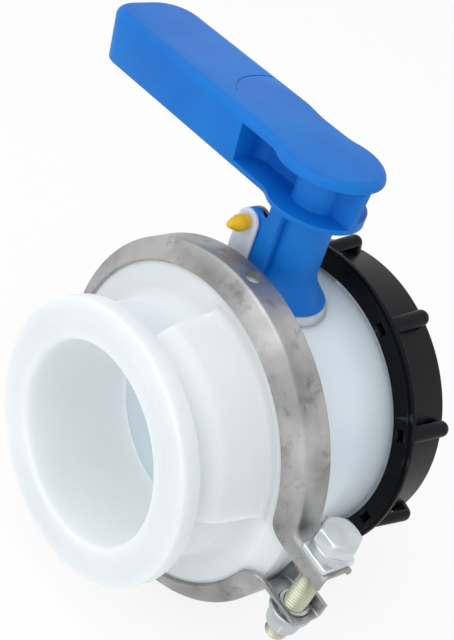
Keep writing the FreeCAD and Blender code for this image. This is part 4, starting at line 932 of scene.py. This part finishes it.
def lever_outline():
    """The lever's outline as a closed wire in the XY plane, the spindle at the origin."""
    bm = bmesh.new()
    near_centre, near_side, near_head = blend_to_head(-1, GRIP_NEAR)
    far_centre, far_side, far_head = blend_to_head(1, GRIP_WAIST)
    head_sweep = turned_angle((0, 0), near_head, far_head) % tau
    chains = [
        add_arc(bm, near_centre, near_side, turned_angle(near_centre, near_side, near_head), 8),
        add_arc(bm, (0, 0), near_head, head_sweep, 72),
        add_arc(bm, far_centre, far_head, turned_angle(far_centre, far_head, far_side), 8),
    ]
    corners = [bm.verts.new((x, y, 0.0)) for x, y in (
        (GRIP_WAIST, WAIST_Y), (GRIP_FAR, FLARE_Y), (GRIP_FAR, LEVER_LEN), (GRIP_NEAR, LEVER_LEN))]
    path = [chains[0][1], chains[1][0], chains[1][1], chains[2][0], chains[2][1], *corners,
            chains[0][0]]
    for index, (start, end) in enumerate(zip(path, path[1:])):
        if index not in (1, 3):
            bm.edges.new((start, end))
    bmesh.ops.remove_doubles(bm, verts=bm.verts, dist=1e-3)
    for corner, radius in zip(corners, (FLARE_R, FLARE_R, TIP_FAR_R, TIP_NEAR_R)):
        round_corner(bm, corner, radius, 8)
    return bm


# %% [markdown]
# The outline is filled and extruded down. The sides narrow by five degrees on the way down, as
# the mould needs, so each lower vertex moves inwards along the outline's own normal. A fine arc
# is sunk into the top: a small square is spun about the arc's centre and cut away.

# %% Lever block
def drafted(bm, top, base):
    """Fills a wire in the XY plane and extrudes it down with the mould's draft."""
    face = bmesh.ops.contextual_create(bm, geom=bm.edges[:])["faces"][0]
    face.normal_update()
    if face.normal.z < 0:
        face.normal_flip()
    ring = [loop.vert for loop in face.loops]
    inward = {}
    for before, vert, after in zip(ring[-1:] + ring[:-1], ring, ring[1:] + ring[:1]):
        along = (after.co - before.co).normalized()
        inward[vert] = Vector((-along.y, along.x, 0.0))
    moves = {(vert.co.x, vert.co.y): way for vert, way in inward.items()}
    bmesh.ops.translate(bm, verts=bm.verts, vec=(0, 0, top))
    grown = bmesh.ops.extrude_face_region(bm, geom=[face], use_keep_orig=True)["geom"]
    for item in grown:
        if isinstance(item, bmesh.types.BMVert):
            item.co += moves[item.co.x, item.co.y] * TAPER * (top - base)
            item.co.z = base
    bmesh.ops.recalc_face_normals(bm, faces=bm.faces)
    return bm


def level_edges(height):
    """A test for edges that lie flat at a height."""
    return lambda edge: all(abs(vert.co.z - height) < 0.01 for vert in edge.verts)


TOP_ROUND, BASE_ROUND = 3.4, 0.7
lever = drafted(lever_outline(), LEVER_TOP, LEVER_BASE)
break_edges(lever, TOP_ROUND, steps=6, wanted=level_edges(LEVER_TOP))
break_edges(lever, BASE_ROUND, steps=3, wanted=level_edges(LEVER_BASE))
ARC_CENTRE, ARC_R, ARC_HALF_WIDTH, ARC_DEPTH = (8.0, 34.0), 16.8, 0.3, 0.25
ARC_START, ARC_SWEEP = math.radians(55), math.radians(95)
groove = bmesh.new()
bmesh.ops.create_grid(groove, x_segments=1, y_segments=1, size=ARC_HALF_WIDTH)
rotate(groove, tau / 4, "X")
move(groove, (ARC_R, 0, LEVER_TOP - ARC_DEPTH + ARC_HALF_WIDTH))
rotate(groove, ARC_START, "Z")
bmesh.ops.spin(groove, geom=groove.faces[:], cent=(0, 0, 0), axis=(0, 0, 1), angle=ARC_SWEEP,
               steps=40)
bmesh.ops.recalc_face_normals(groove, faces=groove.faces)
lever = combine(lever, move(groove, (*ARC_CENTRE, 0.0)))
print("lever block faces:", len(lever.faces))

# %% [markdown]
# The mould leaves three spaces: a deep window beside the spindle, between a top and a lower
# plate, a hollow under the grip with two cross ribs, and a pocket under the far half of the head.
# The pocket is open to the side as well, above a low lip that stands back a little from the top
# plate.

# %% Lever spaces
WINDOW_BACK, WINDOW_END, HOLLOW_START, SLEEVE_R = -1.4, 28.0, 32.5, 8.5
WEB = WINDOW_BACK + LEVER_WALL
LIP_TOP, FAR_END_Y, LIP_SIDE_R, POCKET_Y = 85.2, 9.0, 16.6, 17.0
RIB_HALF, RIB_LIFT, FAR_OUT = 0.9, 4.0, 40.0
CEILING = LEVER_TOP - LEVER_PLATE


def plan(points, rounds):
    """A closed wire in the XY plane from (x, y) points."""
    bm = outline(points, rounds)
    rotate(bm, -tau / 4, "X")
    return bm


def extruded(bm, low, high):
    """Fills a wire in the XY plane and extrudes it straight up."""
    bmesh.ops.contextual_create(bm, geom=bm.edges[:])
    grown = bmesh.ops.extrude_face_region(bm, geom=bm.faces[:], use_keep_orig=True)["geom"]
    bmesh.ops.translate(bm, vec=(0, 0, high - low),
                        verts=[item for item in grown if isinstance(item, bmesh.types.BMVert)])
    bmesh.ops.recalc_face_normals(bm, faces=bm.faces)
    return move(bm, (0, 0, low))


window = extruded(plan([(-FAR_OUT, -FAR_OUT), (WINDOW_BACK, -FAR_OUT),
                        (WINDOW_BACK, WINDOW_END), (-FAR_OUT, WINDOW_END)], {2: 4.5}),
                  LEVER_BASE + LEVER_FLOOR, CEILING)
near_in, waist_in, far_in, tip_in = (GRIP_NEAR + LEVER_WALL, GRIP_WAIST - LEVER_WALL,
                                     GRIP_FAR - LEVER_WALL, LEVER_LEN - LEVER_WALL)
hollow = drafted(plan([(near_in, HOLLOW_START), (WEB, HOLLOW_START), (WEB, POCKET_Y),
                       (waist_in, POCKET_Y), (waist_in, WAIST_Y), (far_in, FLARE_Y),
                       (far_in, tip_in), (near_in, tip_in)],
                      {0: 1.5, 6: TIP_FAR_R - LEVER_WALL, 7: TIP_NEAR_R - LEVER_WALL}),
                 CEILING, LEVER_BASE - 1.0)
rib_step = (LEVER_LEN - HOLLOW_START) / 3
ribs = join(*[slab((-30, HOLLOW_START + rib_step * count - RIB_HALF, LEVER_BASE + RIB_LIFT),
                   (30, HOLLOW_START + rib_step * count + RIB_HALF, LEVER_TOP))
              for count in (1, 2)])
hollow = combine(hollow, ribs)
pocket = bmesh.new()
bmesh.ops.create_cone(pocket, cap_ends=True, segments=64, radius1=LEVER_R - LEVER_WALL - 1.8,
                      radius2=LEVER_R - LEVER_WALL, depth=CEILING - LEVER_BASE + 1)
move(pocket, (0, 0, (CEILING + LEVER_BASE - 1) / 2))
pocket = combine(pocket, join(slab((-30, -30, 60), (WEB, 30, 110)), post(SLEEVE_R, 60, 110, 64)))
far_opening = slab((WEB, -FAR_OUT, LIP_TOP), (FAR_OUT, FAR_END_Y, CEILING))
lip_side = combine(slab((WEB, -FAR_OUT, 60), (FAR_OUT, FAR_END_Y, LIP_TOP + 1)),
                   post(LIP_SIDE_R, 50, 110, 96))
for space in (window, hollow, pocket, far_opening, lip_side):
    lever = combine(lever, space)
break_edges(lever, 0.45, steps=3, above=55,
            wanted=lambda edge: LEVER_BASE + 1.5 < edge.verts[0].co.z < LEVER_TOP - 2.9)
print("lever shell faces:", len(lever.faces))

# %% [markdown]
# Below the plates a round sleeve goes down around the spindle. It ends in a bell that covers the
# gland and the stop blocks. Sleeve and bell are one turned wall, open at the bottom.

# %% Sleeve and bell
BELL_Z, BELL_RIM, BELL_ROOM_R, BELL_ROOM_TOP = 48.3, 1.2, 11.9, 50.5
SOCKET_R, SLEEVE_TOP, TOOTH_START, TOOTH_OUTER_R = 6.1, LEVER_TOP - 1.6, 188.0, 12.4
sleeve = upright([(SOCKET_R, BELL_ROOM_TOP), (BELL_ROOM_R, BELL_ROOM_TOP), (BELL_ROOM_R, BELL_Z),
                  (BELL_R, BELL_Z), (BELL_R, BELL_Z + BELL_RIM), (SLEEVE_R, BELL_TOP),
                  (SLEEVE_R, SLEEVE_TOP), (SOCKET_R, SLEEVE_TOP)],
                 {2: 0.3, 3: 0.4, 4: 1.5, 5: 9.0}, 128)
tooth = stop_block(TOOTH_START, BELL_Z + 0.1, BELL_ROOM_TOP + 0.3, TOOTH_OUTER_R)
move(tooth, (-STEM_X, 0, 0))
SEAL_GAP = 0.4
LEVER_LUG_X = LUG_X + LUG_T + SEAL_GAP - STEM_X
LEVER_LUG_T, LEVER_LUG_Y, WEB_END, LEVER_LUG_Z = 3.2, 2.1, 7.7, 73.9
LUG_END = LUG_Y + LUG_HALF
lever_lug = plate_across([(LEVER_LUG_Y, BELL_TOP - 0.5), (LUG_END, BELL_TOP - 0.5),
                          (LUG_END, LEVER_LUG_Z), (LEVER_LUG_Y, LEVER_LUG_Z)], {1: 1.0, 2: 5.0},
                         LEVER_LUG_X, LEVER_LUG_X + LEVER_LUG_T)
web = plate_across([(LEVER_LUG_Y, BELL_ROOM_TOP + 0.5), (WEB_END, BELL_ROOM_TOP + 0.5),
                    (WEB_END, LEVER_BASE + 1.1), (LEVER_LUG_Y, LEVER_BASE + 1.1)], {},
                   LEVER_LUG_X, 3.2 - SLEEVE_R)
lever_lug = combine(lever_lug, web, "UNION")
lever_lug = pin_hole(lever_lug, LEVER_LUG_X, LEVER_LUG_X + LEVER_LUG_T)
lever_lug = break_edges(lever_lug, 0.35, steps=2)
lever = move(join(lever, sleeve, tooth, lever_lug), (STEM_X, 0, 0))
finish_piece(lever, "lever_moulding", "lever", BLUE_PLASTIC, ["lever_handle"])

# %% [markdown]
# The yellow seal pin goes through both lugs. Its front end is a blunt barb, its rear end a
# button. It tears in the gap between the lugs when the lever is first opened, so it is two
# pieces.

# %% Seal pin
BARB_LEN, BARB_R, BARB_TIP_R, BARB_REACH, BARB_NECK_R = 3.8, 3.0, 1.1, 4.0, 2.4
barb_x = LUG_X - BARB_REACH
barb = turn(outline([(barb_x - BARB_LEN, 0.0), (barb_x - BARB_LEN, BARB_TIP_R), (barb_x, 2.8),
                     (barb_x + 1.8, BARB_R), (barb_x + 2.2, BARB_NECK_R),
                     (LUG_X - 0.1, BARB_NECK_R), (LUG_X - 0.1, PIN_R),
                     (LUG_X + LUG_T, PIN_R), (LUG_X + LUG_T, 0.0)],
                    {1: 0.5, 3: 0.3, 4: 0.3}, closed=False), 48)
finish_piece(move(barb, (0, LUG_Y, PIN_Z)), "seal_pin_barb", "valve", YELLOW_PLASTIC,
             ["seal_pin_head"])
BUTTON_R, BUTTON_T = 4.6, 1.8
button_x = STEM_X + LEVER_LUG_X + LEVER_LUG_T + 0.1
button = turn(outline([(STEM_X + LEVER_LUG_X, 0.0), (STEM_X + LEVER_LUG_X, PIN_R),
                       (button_x, PIN_R), (button_x, BUTTON_R), (button_x + BUTTON_T, BUTTON_R),
                       (button_x + BUTTON_T, 0.0)], {3: 0.4, 4: 0.7}, closed=False), 48)
finish_piece(move(button, (0, LUG_Y, PIN_Z)), "seal_pin_button", "lever", YELLOW_PLASTIC,
             ["seal_pin_tail"])

# %% [markdown]
# The outlet cap is a turned cup with a thin ring at its front edge. The cup narrows a little
# towards its back, and the outline starts and ends on the axis, so that the spin closes it.

# %% Cap shell
CAP_FRONT, CAP_BACK, CAP_WALL, CAP_BORE_R = 91.2, 113.9, 2.5, 49.5
RING_X, RING_END, RING_R, LIP_R, CUP_R, CUP_BACK_R = 92.2, 94.2, 57.3, 56.0, 54.7, 52.7
shell = turn(outline([
    (CAP_BACK - CAP_WALL, 0.0), (CAP_BACK - CAP_WALL, CAP_BORE_R), (CAP_FRONT, CAP_BORE_R),
    (CAP_FRONT, LIP_R), (RING_X, LIP_R), (RING_X, RING_R), (RING_END, RING_R), (RING_END, CUP_R),
    (CAP_BACK, CUP_BACK_R), (CAP_BACK, 0.0),
], {1: 0.8, 2: 0.4, 3: 0.3, 5: 0.5, 6: 0.5, 7: 0.5, 8: 2.0}, closed=False), STEPS_ROUND)
print("cap shell faces:", len(shell.faces))

# %% [markdown]
# Nine grip bars run along the cap. Each is a half-round bar that leaves the ring, rises a little
# and turns down onto the cup at its back end, and a core leaves a tunnel below it that opens in
# the front edge. One bar is made at the top of the cap and set around it by rotation.

# %% Grip bars and tunnels
BAR_COUNT, BAR_FIRST, BAR_R, BAR_END, BAR_TOP_R, BAR_RISE = 9, 29.0, 2.95, 111.0, 59.2, 2.0
BAR_FOOT_X = BAR_END - 3.3
TUNNEL_HALF, TUNNEL_IN_R, TUNNEL_OUT_R = 2.3, 51.4, 54.4
dome_x = BAR_END - BAR_R
slope = BAR_RISE / (BAR_END - RING_X)
bar_start_r = BAR_TOP_R - BAR_R - BAR_RISE
dome_r = bar_start_r + slope * (dome_x - RING_X)
bar_len = math.hypot(dome_x - RING_X, dome_r - bar_start_r)
tilt = math.atan(slope)


def sliced(bm, place, normal):
    """Keeps what lies on the normal's side of a plane and closes the cut."""
    cut = bmesh.ops.bisect_plane(bm, geom=bm.verts[:] + bm.edges[:] + bm.faces[:],
                                 plane_co=place, plane_no=normal, clear_inner=True)
    bmesh.ops.contextual_create(bm, geom=[item for item in cut["geom_cut"]
                                          if isinstance(item, bmesh.types.BMEdge)])
    return bm


def grip_bar():
    """One grip bar at the top of the cap."""
    bar = turn(outline([(0.4, 0.0), (0.4, BAR_R), (bar_len + BAR_R, BAR_R), (bar_len + BAR_R, 0.0)],
                       {1: 0.3, 2: BAR_R - 0.02}, closed=False), 32)
    rotate(bar, -tilt, "Y")
    move(bar, (RING_X, 0, bar_start_r))
    sliced(bar, (RING_X, 0, bar_start_r), (-math.sin(tilt), 0, math.cos(tilt)))
    bar_foot = move(post(BAR_R - 0.01, CAP_BORE_R + 1.5, dome_r), (dome_x, 0, 0))
    return join(bar, sliced(bar_foot, (BAR_FOOT_X, 0, 0), (1, 0, 0)))


bars, tunnels = bmesh.new(), bmesh.new()
for number in range(BAR_COUNT):
    angle = math.radians(BAR_FIRST) + tau * number / BAR_COUNT
    tunnel = slab((CAP_FRONT - 1, -TUNNEL_HALF, TUNNEL_IN_R),
                  (BAR_FOOT_X, TUNNEL_HALF, TUNNEL_OUT_R))
    for whole, single in ((bars, grip_bar()), (tunnels, tunnel)):
        join(whole, rotate(single, angle, "X"))
shell = break_edges(combine(shell, tunnels), 0.2, above=55)
cap = join(shell, bars)
finish_piece(cap, "outlet_cap_moulding", "cap", BLACK_PLASTIC, ["outlet_cap"])

# %% [markdown]
# The camera looks down at the valve from the inlet side. Its place and lens are given, and so are
# the directions that point right and up in the picture; the third one, back towards the camera,
# follows.

# %% Camera
CAMERA_PLACE = Vector((-269.8, -270.8, 295.5)) * MM
RIGHT, UP = Vector((0.747, -0.600, 0.286)), Vector((0.155, 0.575, 0.803))
FOCAL_LENGTH, SENSOR_WIDTH = 84.375, 36.0
right = RIGHT.normalized()
back = right.cross(UP).normalized()
up = back.cross(right)
camera = bpy.data.objects.new("camera", bpy.data.cameras.new("camera"))
bpy.context.scene.collection.objects.link(camera)
camera.matrix_world = Matrix.Translation(CAMERA_PLACE) @ \
    Matrix((right, up, back)).transposed().to_4x4()
camera.data.sensor_width = SENSOR_WIDTH
camera.data.sensor_fit = "AUTO"
camera.data.lens = FOCAL_LENGTH
bpy.context.scene.camera = camera
print("lens", round(camera.data.lens, 2))

# %% [markdown]
# A plain pale floor, a pale world and two soft area lamps light the valve as in a product shot.
# The camera sees the floor and the world as white, and the floor still keeps the valve's shadow.

# %% Floor and world
FLOOR_HALF, FLOOR_GAP, FLOOR_WHITE = 4.0, 0.0005, 0.84
WORLD_COLOUR, WORLD_STRENGTH = (0.96, 0.98, 1.0, 1.0), 0.66


def white_when_seen(tree, surface, output, share):
    """Shows plain white, as far as share goes, to the camera and in reflections."""
    path = add_node(tree, "ShaderNodeLightPath")
    seen = path.outputs["Is Camera Ray"]
    for kind in ("Is Glossy Ray", "Is Transmission Ray"):
        either = add_node(tree, "ShaderNodeMath", operation="MAXIMUM")
        tree.links.new(seen, either.inputs[0])
        tree.links.new(path.outputs[kind], either.inputs[1])
        seen = either.outputs[0]
    amount = add_node(tree, "ShaderNodeMath", operation="MULTIPLY")
    amount.inputs[1].default_value = share
    tree.links.new(seen, amount.inputs[0])
    white = add_node(tree, "ShaderNodeEmission" if output.bl_idname == "ShaderNodeOutputMaterial"
                     else "ShaderNodeBackground")
    white.inputs["Color"].default_value = WHITE_LIGHT
    white.inputs["Strength"].default_value = 1.0
    choose = add_node(tree, "ShaderNodeMixShader")
    tree.links.new(amount.outputs[0], choose.inputs[0])
    tree.links.new(surface, choose.inputs[1])
    tree.links.new(white.outputs[0], choose.inputs[2])
    tree.links.new(choose.outputs[0], output.inputs["Surface"])


floor_mesh = bpy.data.meshes.new("floor")
floor_bm = bmesh.new()
bmesh.ops.create_grid(floor_bm, x_segments=1, y_segments=1, size=FLOOR_HALF)
move(floor_bm, (0, 0, cad_bounds[0][2] - FLOOR_GAP))
floor_bm.to_mesh(floor_mesh)
floor_bm.free()
floor = bpy.data.objects.new("floor", floor_mesh)
bpy.context.scene.collection.objects.link(floor)
floor_material = bpy.data.materials.new("pale_floor")
floor_material.use_nodes = True
floor_tree = floor_material.node_tree
floor_shader = floor_tree.nodes["Principled BSDF"]
floor_shader.inputs["Base Color"].default_value = WHITE_LIGHT
floor_shader.inputs["Roughness"].default_value = 0.9
white_when_seen(floor_tree, floor_shader.outputs[0], floor_tree.nodes["Material Output"],
                FLOOR_WHITE)
floor_mesh.materials.append(floor_material)

world = bpy.data.worlds.new("studio")
bpy.context.scene.world = world
world.use_nodes = True
background = world.node_tree.nodes["Background"]
background.inputs["Color"].default_value = WORLD_COLOUR
background.inputs["Strength"].default_value = WORLD_STRENGTH
white_when_seen(world.node_tree, background.outputs[0], world.node_tree.nodes["World Output"], 1.0)
print("world strength", WORLD_STRENGTH)

# %% [markdown]
# One large round lamp above gives the soft shading from the top. A weaker one in front of the
# inlet lights the bore and the weld face. Both point at the middle of the valve.

# %% Lamps
MIDDLE = Vector((0.06, 0.0, 0.0))


def soft_lamp(name, place, size, power):
    """A round area lamp, its place and size in metres and its power in watts."""
    lamp = bpy.data.lights.new(name, "AREA")
    lamp.shape = "DISK"
    lamp.size = size
    lamp.energy = power
    item = bpy.data.objects.new(name, lamp)
    bpy.context.scene.collection.objects.link(item)
    item.location = place
    item.rotation_euler = (MIDDLE - Vector(place)).to_track_quat("-Z", "Y").to_euler()
    print("lamp", name, power, "W")


soft_lamp("key", (-0.4, 0.1, 1.0), 1.3, 5.0)
soft_lamp("front", (-1.3, -0.3, 0.35), 1.0, 3.0)
bpy.context.scene.view_settings.view_transform = "Standard"
